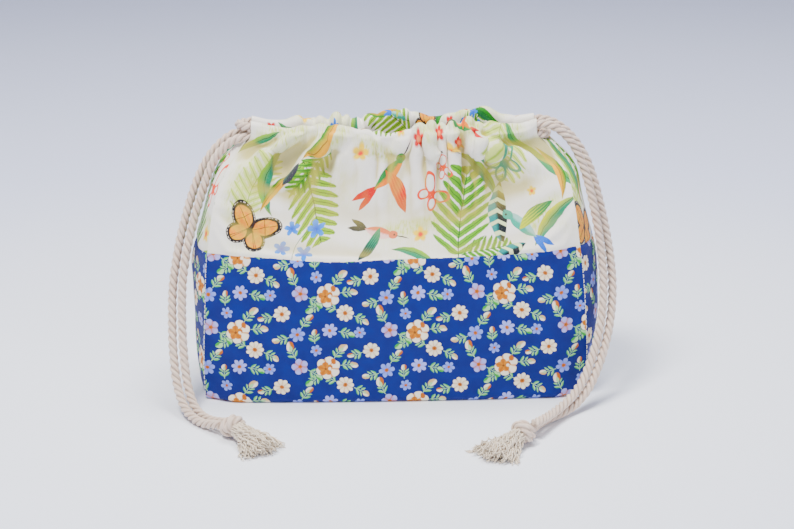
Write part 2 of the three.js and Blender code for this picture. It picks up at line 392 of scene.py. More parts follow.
class Layers:
    """Colour built up in layers, over a cloth whose x and y are in millimetres."""

    def __init__(self, tree):
        self.tree = tree
        self.colour = None
        self.uv = add_node(tree, "UVMap", uv_map="cloth").outputs[0]

    def layer(self, painter, x, y, centre, angle, *details, measure=None):
        """Runs a painter in a node group of its own, round a centre, over the colour so far."""
        group = bpy.data.node_groups.new(painter.__name__, "ShaderNodeTree")
        for label, kind in (("Colour", "Color"), ("X", "Float"), ("Y", "Float")):
            group.interface.new_socket(label, in_out="INPUT", socket_type="NodeSocket" + kind)
        group.interface.new_socket("Colour", in_out="OUTPUT", socket_type="NodeSocketColor")
        given = group.nodes.new("NodeGroupInput")
        inner = Layers(group)
        inner.colour, inner_x, inner_y = given.outputs[:3]
        a, b = (measure or turned)(Value(group, inner_x), Value(group, inner_y), centre, angle)
        painter(inner, a, b, *details)
        result = group.nodes.new("NodeGroupOutput")
        group.links.new(inner.colour, result.inputs[0])
        node = self.tree.nodes.new("ShaderNodeGroup")
        node.node_tree = group
        for slot, socket in zip(node.inputs, (self.colour, x.socket, y.socket)):
            self.tree.links.new(socket, slot)
        self.colour = node.outputs[0]

    def place(self, wander=0.0, scale=0.0):
        """The cloth's x and y in millimetres, shifted about a little by noise."""
        split = add_node(self.tree, "SeparateXYZ", {0: self.uv})
        x = Value(self.tree, split.outputs[0]) * UV_UNIT
        y = Value(self.tree, split.outputs[1]) * UV_UNIT
        if wander:
            x = x + (self.noise(scale, 2.0) - 0.5) * wander
            y = y + (self.noise(scale * 1.13, 2.0, 0.37) - 0.5) * wander
        return x, y

    def noise(self, scale, detail, shift=0.0, stretch=None):
        """Noise of 0 to 1 over the cloth. scale is in features per 100 mm."""
        coordinate = self.uv
        if shift or stretch:
            moved = {0: self.uv, "Location": (shift, shift * 1.7, 0), "Scale": (*(stretch or (1, 1)), 1)}
            coordinate = add_node(self.tree, "Mapping", moved).outputs[0]
        inputs = {"Vector": coordinate, "Scale": scale, "Detail": detail}
        node = add_node(self.tree, "TexNoise", inputs, noise_dimensions="2D")
        return Value(self.tree, node.outputs[0])

    def attribute(self, name):
        """A number stored at each point of the mesh."""
        node = add_node(self.tree, "Attribute", attribute_name=name)
        return Value(self.tree, node.outputs["Fac"])

    def start(self, colour):
        node = add_node(self.tree, "RGB")
        node.outputs[0].default_value = (*colour, 1)
        self.colour = node.outputs[0]

    def paint(self, colour, mask, other=None, share=None):
        """Lays a colour over what is there, where mask is 1. other is a second colour, mixed by share."""
        if other is not None:
            colour = self.mixed(share, colour, other)
        self.colour = self.mixed(mask, self.colour, colour)

    def mixed(self, factor, first, second):
        first, second = ((*c, 1) if isinstance(c, tuple) else c for c in (first, second))
        inputs = {"Factor": factor.socket, "A": first, "B": second}
        return add_node(self.tree, "Mix", inputs, data_type="RGBA").outputs["Result"]


class Cloth(Layers):
    """A principled material coloured in layers."""

    def __init__(self, name, roughness, sheen=0.0):
        self.material = bpy.data.materials.new(name)
        self.material.use_nodes = True
        super().__init__(self.material.node_tree)
        self.inputs = self.tree.nodes["Principled BSDF"].inputs
        self.inputs["Roughness"].default_value = roughness
        self.inputs["Sheen Weight"].default_value = sheen
        self.inputs["Sheen Roughness"].default_value = 0.5
        self.inputs["Specular IOR Level"].default_value = 0.3

    def finish(self, height, strength, distance):
        """Puts the colour and a bump from a height on the shader."""
        bumps = {"Strength": strength, "Distance": distance, "Height": height.socket}
        bump = add_node(self.tree, "Bump", bumps)
        self.tree.links.new(self.colour, self.inputs["Base Color"])
        self.tree.links.new(bump.outputs[0], self.inputs["Normal"])
        return self.material


SATURATION = 1.22


def srgb(r, g, b):
    """A colour of 0 to 255 parts as linear light, a little stronger, as studio light pales it."""
    out = []
    for c in (r, g, b):
        c = c / 255
        out.append(c / 12.92 if c <= 0.04045 else ((c + 0.055) / 1.055) ** 2.4)
    grey = 0.3 * out[0] + 0.6 * out[1] + 0.1 * out[2]
    return tuple(min(max(grey + SATURATION * (c - grey), 0.0), 1.0) for c in out)


def plain_weave(cloth, pitch):
    """Height of a plain weave: threads over and under each other, pitch millimetres apart."""
    x, y = cloth.place()
    number = math.pi / pitch
    warp = (x * number).math("SINE")
    weft = (y * number).math("SINE")
    return (warp * weft) * 0.5 + cloth.noise(180.0, 2.0) * 0.9


def turned(x, y, centre, angle):
    """x and y measured from a centre, along and across a direction."""
    dx = x - centre[0]
    dy = y - centre[1]
    c, s = math.cos(angle), math.sin(angle)
    return dx.of(c, 0.0) + dy * s, dy.of(c, 0.0) - dx * s


def oval(a, b, size, centre=(0.0, 0.0)):
    """Above 0 inside an oval of these half sizes, in millimetres near its edge."""
    da = (a - centre[0]) / size[0]
    db = (b - centre[1]) / size[1]
    inside = (da * da + db * db).of(-1.0, 1.0)
    return inside * (min(size) * 0.5)


def leaf(a, b, size):
    """Above 0 inside a leaf that points along a, from -length to length."""
    t = a / size[0]
    return (t * t).of(-size[1], size[1]) - abs(b)


def polar(a, b):
    """Distance and angle round a motif's middle."""
    return (a * a + b * b).math("SQRT"), b.math("ARCTAN2", a)


# The blue cotton's motifs repeat every REPEAT_X by REPEAT_Y, each column a DROP lower.
REPEAT_X = 58.0
REPEAT_Y = 50.0
DROP = 25.0
# How wide a printed edge is, in millimetres: the blue print's, a stroke's, a line's
# and a wing's.
EDGE = 0.22
BRUSH_EDGE = 0.3
LINE_EDGE = 0.2
WING_EDGE = 0.25


def repeated(x, y, centre, angle):
    """Coordinates round the nearest copy of a motif."""
    dx = x - centre[0]
    column = (dx / REPEAT_X + 0.5).math("FLOOR")
    dy = (y - centre[1]) - column * DROP
    return turned(dx.wrap(REPEAT_X / 2), dy.wrap(REPEAT_Y / 2), (0.0, 0.0), angle)


def add_flower(cloth, a, b, radius, petals, depth, colours):
    """A flower: petals, the darker hollows between them, a ring and a middle."""
    petal, shade, middle, eye = colours
    r, around = polar(a, b)
    lobes = abs((around * (petals / 2)).math("COSINE"))
    rim = lobes.math("POWER", 0.65).of(depth * radius, (1 - depth) * radius)
    inside = rim - r
    hollow = (lobes.of(-1.6, 1.0) + r * (0.25 / radius)).soft(1.0)
    near_middle = (r.of(-1.0 / radius, 0.75)).soft(0.6)
    share = (hollow * 0.6 + near_middle * 0.5).low(1.0)
    cloth.paint(INK, (inside + 0.45).soft(EDGE) * 0.6)
    cloth.paint(petal, inside.soft(EDGE), shade, share)
    cloth.paint(middle, r.of(-1.0, radius * 0.27).soft(EDGE))
    cloth.paint(eye, r.of(-1.0, radius * 0.11).soft(EDGE))


def add_rose(cloth, a, b, radius, colours):
    """A large open flower: a cream rim of round petals and a lopsided ochre heart."""
    petal, shade, heart, eye, glow = colours
    r, around = polar(a, b)
    lobes = abs((around * 3.0).math("COSINE"))
    rim = lobes.math("POWER", 0.5).of(0.25 * radius, 0.75 * radius)
    cloth.paint(INK, (rim - r + 0.5).soft(EDGE) * 0.6)
    cloth.paint(petal, (rim - r).soft(EDGE), shade, (lobes.of(-2.0, 1.1)).soft(1.0))
    inner, turn = polar(a + 0.22 * radius, b)
    lumps = abs((turn * 2.5).math("COSINE")).math("POWER", 0.6).of(0.2 * radius, 0.42 * radius)
    cloth.paint(heart, (lumps - inner).soft(EDGE), glow, abs((turn * 2.5).math("SINE")).of(0.8, -0.1))
    lump = oval(a, b, (0.2 * radius, 0.28 * radius), (0.62 * radius, 0.35 * radius))
    gap = oval(a, b, (0.15 * radius, 0.15 * radius), (0.12 * radius, -0.12 * radius))
    cloth.paint(heart, lump.soft(EDGE))
    cloth.paint(petal, gap.soft(EDGE))
    cloth.paint(eye, inner.of(-1.0, 0.11 * radius).soft(EDGE))


def add_sprig(cloth, a, b, length, colours, bud):
    """A stem with two pairs of leaves and a bud at its end."""
    leaf_light, leaf_dark, bud_light, bud_dark = colours
    bent = b + (a * a) * 0.012
    stem = (abs(bent).of(-1.0, 0.32)).low(a).low(a.of(-1.0, length))
    cloth.paint(leaf_light, stem.soft(EDGE))
    side = abs(bent)
    for start, size in ((0.26, (2.5, 0.95)), (0.62, (2.0, 0.75))):
        along, across = turned(a, side, (start * length + 1.3, 1.9), 0.85)
        shape = leaf(along, across, size)
        cloth.paint(leaf_light, shape.soft(EDGE), leaf_dark, across.of(0.9, 0.45).soft(1.0))
    if bud:
        shape = oval(a - (length + bud * 0.7), bent, (bud * 1.2, bud * 0.95))
        cloth.paint(INK, (shape + 0.3).soft(EDGE) * 0.6)
        cloth.paint(bud_light, shape.soft(EDGE), bud_dark, bent.of(0.55, 0.4).soft(0.6))
        cup = leaf(a - (length + 0.1 * bud), bent, (bud * 0.8, bud * 0.42))
        cloth.paint(leaf_light, cup.soft(EDGE))


INK = srgb(0, 14, 60)
CREAM = srgb(246, 236, 216)
CREAM_SHADE = srgb(208, 176, 130)
OCHRE = srgb(180, 104, 14)
OCHRE_LIGHT = srgb(208, 144, 50)
BROWN = srgb(122, 72, 34)
PERIWINKLE = srgb(138, 152, 222)
PERIWINKLE_SHADE = srgb(92, 112, 196)
LAVENDER = srgb(166, 168, 228)
LEAF_LIGHT = srgb(170, 214, 158)
LEAF_DARK = srgb(74, 158, 74)

CREAM_FLOWER = (CREAM, CREAM_SHADE, OCHRE, BROWN)
STAR_FLOWER = (PERIWINKLE, PERIWINKLE_SHADE, OCHRE, BROWN)
PALE_STAR = (LAVENDER, PERIWINKLE, OCHRE, BROWN)
MIXED_FLOWER = (LAVENDER, OCHRE, OCHRE, BROWN)
ROSE = (CREAM, OCHRE_LIGHT, OCHRE, BROWN, OCHRE_LIGHT)
OCHRE_BUD = (LEAF_LIGHT, LEAF_DARK, OCHRE, CREAM)
CREAM_BUD = (LEAF_LIGHT, LEAF_DARK, CREAM, CREAM_SHADE)
GREEN_BUD = (LEAF_LIGHT, LEAF_DARK, LEAF_DARK, LEAF_LIGHT)

# Place, direction, length, colours and bud size of each sprig in a repeat.
SPRIGS = [
    ((3.4, 6.2), 1.0, 8.0, CREAM_BUD, 2.6),
    ((7.6, 1.6), 0.15, 7.6, CREAM_BUD, 2.2),
    ((-5.4, -5.2), 3.9, 7.0, GREEN_BUD, 2.2),
    ((40.6, 2.6), 1.05, 7.4, OCHRE_BUD, 2.2),
    ((33.2, -4.0), 3.5, 7.6, CREAM_BUD, 2.0),
    ((22.6, 10.6), 3.5, 7.0, OCHRE_BUD, 1.8),
    ((6.6, 25.4), -0.15, 7.4, GREEN_BUD, 2.0),
    ((37.4, 31.0), 2.1, 7.6, OCHRE_BUD, 2.8),
    ((45.2, 23.6), -0.5, 7.2, GREEN_BUD, 2.1),
    ((16.6, 36.2), -0.4, 7.4, CREAM_BUD, 2.0),
    ((5.8, 40.2), 2.75, 7.0, OCHRE_BUD, 1.8),
    ((49.4, 41.8), 1.7, 6.6, OCHRE_BUD, 1.9),
]
# Place, turn, radius, petals, depth of the notches and colours of each flower in a repeat.
FLOWERS = [
    ((38.0, -2.0), 0.2, 5.3, 6, 0.46, STAR_FLOWER),
    ((28.0, 12.0), 1.0, 5.6, 8, 0.26, CREAM_FLOWER),
    ((1.0, 26.0), 0.3, 5.2, 7, 0.46, PALE_STAR),
    ((40.0, 26.0), 0.6, 5.6, 5, 0.34, MIXED_FLOWER),
    ((11.0, 38.0), 0.0, 5.8, 9, 0.24, CREAM_FLOWER),
    ((50.4, 37.2), 0.3, 4.0, 6, 0.46, STAR_FLOWER),
    ((20.4, 24.6), 0.9, 4.1, 6, 0.46, STAR_FLOWER),
]


def blue_cotton():
    """Deep blue cotton, printed with small flowers on sprigs."""
    cloth = Cloth("blue_floral_cotton", 0.82, 0.04)
    cloth.start(srgb(0, 24, 98))
    deep = cloth.noise(9.0, 4.0)
    cloth.paint(srgb(0, 32, 113), deep.of(2.0, -0.6).soft(1.0))
    x, y = cloth.place(0.9, 26.0)
    for sprig in SPRIGS:
        cloth.layer(add_sprig, x, y, *sprig, measure=repeated)
    cloth.layer(add_rose, x, y, (0.0, 0.0), 0.4, 8.0, ROSE, measure=repeated)
    for flower in FLOWERS:
        cloth.layer(add_flower, x, y, *flower, measure=repeated)
    fade = cloth.noise(140.0, 3.0)
    cloth.paint(srgb(24, 66, 150), fade.of(1.2, -0.72).soft(1.0) * 0.5)
    return cloth.finish(plain_weave(cloth, 0.55), 0.35, 0.0003)


def add_fern(cloth, a, b, length, width, colours, thickness=0.35):
    """A fern frond: a stem with slanting leaflets that shorten towards the tip."""
    light, dark = colours
    b = b + (a * a) * (0.10 / length)
    t = a / length
    reach = (t * (t.of(-1.0, 1.08))).math("SQRT") * (2 * width)
    slant = a - abs(b) * 0.75
    pitch = length / 8.5
    beside = abs(slant.wrap(pitch / 2))
    out = abs(b) / (reach.high(0.5))
    plump = (out.of(-1.0, 1.0) * out.of(0.9, 0.35)).high(0.0).math("SQRT")
    blade = plump * (pitch * 0.62) - beside
    blade = blade.low(out.of(-1.0, 1.0) * 6.0).low(a + 1.0).low(a.of(-1.0, length))
    fringe = (cloth.noise(95.0, 2.0) - 0.45) * 1.3
    cloth.paint(light, (blade + fringe * 0.5).soft(0.35), dark, (beside.of(-1.6, 0.8)).soft(0.8))
    stem = (abs(b).of(-1.0, thickness)).low(a + 2.0).low(a.of(-1.0, length))
    cloth.paint(dark, stem.soft(LINE_EDGE))


def add_long_leaf(cloth, a, b, size, colours, bend=0.0):
    """A long blade with a lighter edge and a dark rib."""
    light, dark, rib = colours
    b = b + (a * a) * bend
    shape = leaf(a, b, size)
    cloth.paint(light, shape.soft(BRUSH_EDGE), dark, (b / size[1]).of(0.9, 0.3).soft(1.0))
    vein = (abs(b).of(-1.0, 0.28)).low(shape)
    cloth.paint(rib, vein.soft(LINE_EDGE))


def add_wings(a, side, scale, middle, turn, size):
    """A pair of wings: coordinates along and across each, and above 0 inside."""
    along, across = turned(a, side, (middle[0] * scale, middle[1] * scale), turn)
    return along, across, oval(along, across, (size[0] * scale, size[1] * scale))


def add_butterfly(cloth, a, b, scale, colours):
    """A butterfly with two pairs of wings, dark borders and a row of pale spots."""
    wing, border, spot, body = colours
    side = abs(b)
    fore_a, fore_b, fore = add_wings(a, side, scale, (3.0, 4.8), 0.95, (7.0, 4.4))
    _, hind_b, hind = add_wings(a, side, scale, (-3.4, 3.6), -0.7, (5.0, 4.4))
    both = fore.high(hind)
    cloth.paint(border, both.soft(WING_EDGE))
    dots = (a * (3.4 / scale)).math("SINE") * (b * (3.4 / scale)).math("SINE")
    spots = (both.of(-1.0, 0.62 * scale)).low(dots * 0.8).low(both - 0.28 * scale)
    cloth.paint(spot, spots.soft(WING_EDGE))
    inner = both - 1.05 * scale
    warm = cloth.noise(30.0, 2.0)
    cloth.paint(wing[0], inner.soft(BRUSH_EDGE), wing[1], warm.of(2.4, -0.7).soft(1.0))
    veins = abs(fore_b).low(abs(hind_b)).low(abs(fore_a.wrap(2.6 * scale))).of(-1.0, 0.17 * scale)
    cloth.paint(border, veins.low(inner).soft(WING_EDGE))
    cloth.paint(body, leaf(a, b, (4.6 * scale, 0.9 * scale)).soft(LINE_EDGE))


def add_outline_butterfly(cloth, a, b, scale, colour):
    """A small butterfly drawn as four loops."""
    side = abs(b)
    fore = add_wings(a, side, scale, (2.2, 3.4), 0.9, (4.2, 2.3))[2]
    hind = add_wings(a, side, scale, (-1.9, 2.5), -0.8, (2.8, 2.0))[2]
    line = abs(fore.high(hind) - 0.4 * scale).of(-1.0, 0.3 * scale)
    cloth.paint(colour, line.soft(LINE_EDGE))
    cloth.paint(colour, leaf(a, b, (2.6 * scale, 0.45 * scale)).soft(LINE_EDGE))


def add_bird(cloth, a, b, scale, colours):
    """A plain small bird in flight: body, head, bill, forked tail and one long wing."""
    back, breast, wing, wing_tip, tail = colours
    fork_a, fork_b = turned(a, abs(b), (-9.0 * scale, 0.9 * scale), -0.25)
    tail_shape = leaf(fork_a, fork_b, (4.6 * scale, 1.15 * scale))
    cloth.paint(tail, tail_shape.soft(BRUSH_EDGE))
    body = leaf(a - 0.5 * scale, b, (7.0 * scale, 2.3 * scale))
    streak = cloth.noise(60.0, 2.0, 0.2)
    cloth.paint(back, body.soft(BRUSH_EDGE), breast, ((b / scale).of(-0.8, 0.1) + streak * 0.5).soft(0.7))
    wing_a, wing_b = turned(a, b, (-0.5 * scale, -6.0 * scale), -1.75)
    wing_shape = leaf(wing_a, wing_b + (wing_a * wing_a) * (0.02 / scale), (8.0 * scale, 2.3 * scale))
    feathers = ((wing_b * (7.0 / scale)).math("SINE")).of(0.35, 0.0) + (wing_a / scale).of(0.11, 0.55)
    cloth.paint(wing, wing_shape.soft(BRUSH_EDGE), wing_tip, feathers.soft(1.0))
    head = oval(a, b, (2.1 * scale, 1.8 * scale), (6.4 * scale, 0.6 * scale))
    cloth.paint(back, head.soft(BRUSH_EDGE))
    bill = leaf(a - 10.4 * scale, b - 0.6 * scale, (3.4 * scale, 0.32 * scale))
    cloth.paint(srgb(60, 50, 52), bill.soft(LINE_EDGE))
    eye = oval(a, b, (0.45 * scale, 0.45 * scale), (6.9 * scale, 0.9 * scale))
    cloth.paint(srgb(38, 40, 40), eye.soft(LINE_EDGE))


# Each bell flower's place, size and turn.
BELLS = [((-7, 4), 3.6, 0.3), ((-4, -5), 3.9, 1.2), ((2, 5.5), 3.3, 2.0), ((7, -3), 4.0, 0.8)]


def add_bells(cloth, a, b, scale):
    """A stem hung with small blue bell flowers."""
    bent = b + (a * a) * 0.02
    stem = (abs(bent).of(-1.0, 0.3)).low(a + 9.0 * scale).low(a.of(-1.0, 9.0 * scale))
    cloth.paint(srgb(52, 104, 72), stem.soft(LINE_EDGE))
    for place, size, turn in BELLS:
        pa, pb = turned(a, b, (place[0] * scale, place[1] * scale), turn)
        r, around = polar(pa, pb)
        rim = abs((around * 2.5).math("COSINE")).of(0.55 * size * scale, 0.45 * size * scale)
        rough = cloth.noise(80.0, 2.0) - 0.5
        bell = (rim - r + rough * 1.6).soft(0.4)
        cloth.paint(srgb(58, 130, 218), bell, srgb(24, 70, 184), (r / size).of(-0.9, 1.0))


def add_feather(cloth, a, b, size):
    """A dark feather barred with teal and pale green."""
    b = b + (a * a) * 0.006
    shape = leaf(a, b, size)
    bars = ((a + abs(b) * 0.5) * (2 * math.pi / 7.5)).math("SINE")
    share = (b / size[1]).of(1.4, 0.1).soft(0.5)
    cloth.paint(srgb(6, 16, 24), shape.soft(BRUSH_EDGE), srgb(30, 128, 122), share)
    cloth.paint(srgb(214, 224, 176), (bars - 0.25).low(shape).soft(BRUSH_EDGE))


WASH_STRENGTH = 0.8


def add_wash(cloth, a, b, size, colour):
    """A patch of thin brush strokes with no clear rim."""
    patch = oval(a, b, size).soft(0.35 * size[1])
    strokes = cloth.noise(30.0, 3.0, 0.5, (2.4, 0.7)).of(3.4, -1.25).soft(1.0)
    broad = cloth.noise(7.0, 2.0, 0.2).of(2.4, -0.55).soft(1.0)
    cloth.paint(colour, patch * strokes.high(broad * 0.55) * WASH_STRENGTH)


def add_blossom(cloth, a, b, radius, colours):
    """A small painted flower, soft at its rim."""
    r, around = polar(a, b)
    rim = abs((around * 2.5).math("COSINE")).of(0.35 * radius, 0.65 * radius)
    cloth.paint(colours[0], (rim - r).soft(radius * 0.3))
    cloth.paint(colours[1], r.of(-1.0, radius * 0.4).soft(radius * 0.25))


GREEN_LIGHT = srgb(140, 176, 54)
GREEN = srgb(44, 120, 40)
GREEN_DARK = srgb(8, 64, 34)
TEAL = srgb(30, 128, 92)
YELLOW_GREEN = srgb(200, 200, 72)
YELLOW = srgb(232, 172, 20)
RED = srgb(198, 18, 8)
FERN = (GREEN_LIGHT, GREEN_DARK)
PALE_FERN = (srgb(206, 218, 134), srgb(142, 170, 70))
BRIGHT_FERN = (srgb(104, 160, 54), srgb(14, 82, 34))
LEAF = (TEAL, GREEN_LIGHT, GREEN_DARK)
GOLD_LEAF = (YELLOW, GREEN, srgb(130, 92, 20))
MONARCH_WINGS = (srgb(222, 168, 0), srgb(216, 132, 0))
MONARCH = (MONARCH_WINGS, srgb(16, 12, 12), srgb(240, 226, 206), srgb(40, 24, 18))
PARROT = (srgb(46, 126, 64), srgb(236, 136, 8), srgb(232, 120, 20), RED, RED)
BLUEBIRD = (
    srgb(66, 156, 132), srgb(150, 192, 180), srgb(190, 196, 60),
    srgb(28, 118, 66), srgb(30, 96, 190),
)
SMALL_BIRD = (
    srgb(214, 116, 90), srgb(240, 196, 190), srgb(50, 134, 96),
    srgb(14, 40, 44), srgb(24, 30, 40),
)
BLOSSOM = (srgb(248, 210, 100), srgb(222, 56, 24))
RED_BLOSSOM = (RED, srgb(244, 150, 110))
WASH = srgb(196, 208, 96)
DARK_TIP = (srgb(50, 50, 58), srgb(60, 90, 80), srgb(30, 34, 36))
DEEP_LEAF = (GREEN, srgb(20, 84, 54), GREEN_DARK)
BRANCH = (srgb(70, 142, 92), srgb(116, 168, 76), GREEN_DARK)

# Soft patches of the cream cotton's print: centre, turn and half size.
WASHES = [
    ((-108, 44), 1.5, (30, 15)),
    ((-100, 84), 0.4, (24, 15)),
    ((-62, 88), 0.8, (24, 14)),
    ((-24, 76), -0.3, (26, 8)),
    ((28, 92), 0.2, (22, 16)),
    ((66, 92), 0.1, (26, 15)),
    ((100, 86), -0.8, (24, 14)),
    ((104, 26), 0.6, (20, 9)),
    ((10, 24), 0.1, (30, 7)),
    ((-70, 40), -0.9, (26, 9)),
]
# The cream cotton's motifs: painter, centre or root, turn, and what that painter needs.
CREAM_MOTIFS = [
    (add_fern, (-76, 64), -1.02, 56, 15, FERN),
    (add_fern, (-62, 74), -2.0, 34, 9, BRIGHT_FERN),
    (add_fern, (42, 2), 1.5, 60, 21, BRIGHT_FERN, 0.45),
    (add_fern, (46, 2), 0.25, 34, 9, BRIGHT_FERN, 0.4),
    (add_fern, (96, 92), -1.9, 44, 16, PALE_FERN),
    (add_fern, (-106, 26), 1.5, 42, 13, PALE_FERN),
    (add_fern, (8, 112), -2.6, 44, 13, FERN),
    (add_fern, (56, 116), -0.4, 30, 9, BRIGHT_FERN),
    (add_long_leaf, (-98, 52), 1.72, (25, 4.4), LEAF, 0.012),
    (add_long_leaf, (-89, 47), 1.05, (17, 3.2), GOLD_LEAF, 0.01),
    (add_long_leaf, (-82, 56), 1.1, (8, 3.0), DARK_TIP),
    (add_long_leaf, (-66, 82), 1.0, (20, 3.8), GOLD_LEAF),
    (add_long_leaf, (-118, 76), 0.7, (18, 3.2), LEAF, 0.01),
    (add_long_leaf, (14, 4), -0.45, (18, 3.4), LEAF, 0.012),
    (add_long_leaf, (64, 58), -0.9, (22, 4.0), LEAF, 0.012),
    (add_long_leaf, (112, 62), -1.05, (36, 4.6), BRANCH, -0.004),
    (add_long_leaf, (120, 52), -1.5, (20, 3.4), GOLD_LEAF, 0.01),
    (add_long_leaf, (108, 22), 0.7, (22, 4.6), (TEAL, YELLOW_GREEN, GREEN_DARK), 0.01),
    (add_long_leaf, (-22, 98), 0.25, (20, 3.6), GOLD_LEAF, 0.012),
    (add_long_leaf, (-44, 104), 1.3, (15, 3.0), LEAF, 0.02),
    (add_long_leaf, (40, 96), 2.4, (17, 3.8), DEEP_LEAF, 0.02),
    (add_long_leaf, (84, 104), 0.4, (17, 3.4), DEEP_LEAF, 0.012),
    (add_long_leaf, (-90, 108), 0.3, (17, 3.2), BRANCH, 0.012),
    (add_feather, (72, 30), 1.5, (22, 6.8)),
    (add_feather, (76, 2), 0.5, (14, 5.0)),
    (add_butterfly, (-99, 19), 1.2, 1.65, MONARCH),
    (add_butterfly, (24, 104), 0.4, 1.1, MONARCH),
    (add_bells, (-66, 15), 1.1, 1.6),
    (add_bells, (70, 110), 2.4, 1.2),
    (add_bells, (-60, 112), 2.0, 1.0),
    (add_bird, (-13, 60), 0.78, 2.25, PARROT),
    (add_bird, (-14, 21), -0.3, 1.7, SMALL_BIRD),
    (add_bird, (88, 20), 2.3, 1.9, BLUEBIRD),
    (add_bird, (60, 86), 2.8, 1.1, PARROT),
    (add_bird, (-4, 102), 0.2, 1.0, BLUEBIRD),
    (add_outline_butterfly, (22, 44), 0.8, 1.9, srgb(226, 84, 48)),
    (add_outline_butterfly, (31, 60), 0.4, 1.25, srgb(230, 96, 60)),
    (add_outline_butterfly, (82, 62), 1.9, 2.3, srgb(64, 140, 108)),
]
BLOSSOM_TURN = 0.3
# Centre and radius of each yellow blossom, then of each red one.
BLOSSOMS = [
    ((-38, 74), 8.0), ((16, 18), 6.5), ((46, 74), 7.0), ((-2, 90), 6.0),
    ((98, 42), 4.0), ((-84, 96), 6.0),
]
RED_BLOSSOMS = [
    ((15, 82), 6.0), ((36, 84), 5.0), ((54, 78), 5.0), ((50, 104), 5.0),
    ((-110, 104), 5.0),
]
# The cream print repeats after twice this.
PRINT_HALF = 125.0


def cream_cotton():
    """Warm white cotton, printed with ferns, leaves, small birds, butterflies and blossoms, with painted
    shade in the hollows of its gathers and folds.
    """
    cloth = Cloth("cream_printed_cotton", 0.8, 0.1)
    cloth.start(srgb(243, 238, 228))
    far_x, y = cloth.place(1.3, 14.0)
    x = far_x.wrap(PRINT_HALF)
    washes = cloth.noise(2.6, 3.0, 0.9)
    strokes = cloth.noise(34.0, 2.0, 0.5, (2.2, 0.6))
    brushed = ((washes - 0.47) * 5.0).soft(1.0) * strokes.of(1.5, -0.35).soft(1.0)
    cloth.paint(srgb(222, 226, 166), brushed * 0.8)
    cloth.paint(srgb(232, 222, 190), ((washes - 0.60) * 6.0).soft(1.0) * 0.5)
    for centre, angle, size in WASHES:
        cloth.layer(add_wash, x, y, centre, angle, size, WASH)
    for painter, centre, angle, *details in CREAM_MOTIFS:
        cloth.layer(painter, x, y, centre, angle, *details)
    for blossoms, colours in ((BLOSSOMS, BLOSSOM), (RED_BLOSSOMS, RED_BLOSSOM)):
        for centre, radius in blossoms:
            cloth.layer(add_blossom, x, y, centre, BLOSSOM_TURN, radius, colours)
    worn = cloth.noise(120.0, 3.0)
    cloth.paint(srgb(240, 236, 228), worn.of(1.3, -0.78).soft(1.0) * 0.4)
    # Painted shade: a warm dark tint laid where the cloth lies deep in the hollows of its gathers and
    # folds.
    cloth.paint(srgb(186, 172, 96), cloth.attribute("crease") * 0.72)
    return cloth.finish(plain_weave(cloth, 0.5), 0.3, 0.0003)


def rope_cotton(name, base):
    """Unbleached cotton: fine yarns along each strand, fibres, small colour changes and painted shade in
    the grooves between the strands.
    """
    cloth = Cloth(name, 0.9, 0.35)
    cloth.start(base)
    # Painted shade in the grooves where the strands meet.
    cloth.paint(srgb(146, 116, 94), cloth.attribute("groove") * 0.75)
    yarns = cloth.noise(70.0, 3.0, 0.0, (1.0, 0.16))
    tone = cloth.noise(14.0, 2.0, 0.4)
    cloth.paint(srgb(192, 166, 146), yarns.of(2.2, -0.85).soft(1.0) * 0.6)
    cloth.paint(srgb(250, 242, 229), tone.of(2.4, -1.0).soft(1.0) * 0.5)
    fuzz = cloth.noise(240.0, 2.0, 0.1, (1.0, 0.4))
    return cloth.finish(yarns * 1.4 + fuzz * 0.5, 0.55, 0.0005)


def flecked(name, look, colours, noise, fleck, bump, weave=None):
    """A plain material of one colour with flecks of another, raised by the flecks or by a weave."""
    cloth = Cloth(name, *look)
    cloth.start(colours[0])
    grain = cloth.noise(*noise)
    strength, sharp, threshold = fleck
    cloth.paint(colours[1], grain.of(sharp, threshold).soft(1.0) * strength)
    return cloth.finish(plain_weave(cloth, weave) if weave else grain, *bump)


ROPE_MATERIAL = rope_cotton("cotton_rope_strands", srgb(234, 213, 197))
# The tassel's yarns are the rope's cotton made lighter: painted light, for loose yarns that show brighter
# than the shaded, laid rope.
YARN_MATERIAL = rope_cotton("cotton_rope_yarns", srgb(250, 236, 214))
BLUE_MATERIAL = blue_cotton()
CREAM_MATERIAL = cream_cotton()
LINING_COLOURS = (srgb(233, 225, 203), srgb(219, 208, 180))
LINING_MATERIAL = flecked(
    "lining_cotton", (0.88, 0.1), LINING_COLOURS, (6.0, 4.0), (0.6, 2.0, -0.7), (0.35, 0.0003), 0.5
)
FLEECE_COLOURS = (srgb(240, 239, 234), srgb(222, 220, 212))
FLEECE_MATERIAL = flecked(
    "fleece_batting", (0.97, 0.4), FLEECE_COLOURS, (60.0, 5.0), (1.0, 2.4, -0.9), (0.8, 0.0008)
)
BOARD_COLOURS = (srgb(214, 210, 200), srgb(196, 190, 178))
BOARD_MATERIAL = flecked(
    "base_board", (0.62,), BOARD_COLOURS, (150.0, 3.0), (0.7, 3.0, -1.3), (0.25, 0.0002)
)
THREAD_COLOURS = (srgb(226, 224, 216), srgb(196, 194, 188))
THREAD_MATERIAL = flecked(
    "stitch_thread", (0.7, 0.2), THREAD_COLOURS, (160.0, 2.0), (1.0, 2.0, -0.8), (0.4, 0.0002)
)

# ==== Ropes ====

STRANDS = 3
STRAND_OFFSET = 1.42
STRAND_RADIUS = 1.58
ROPE_PITCH = 15.0
SECTION_POINTS = 10
ROPE_STEP = 0.7

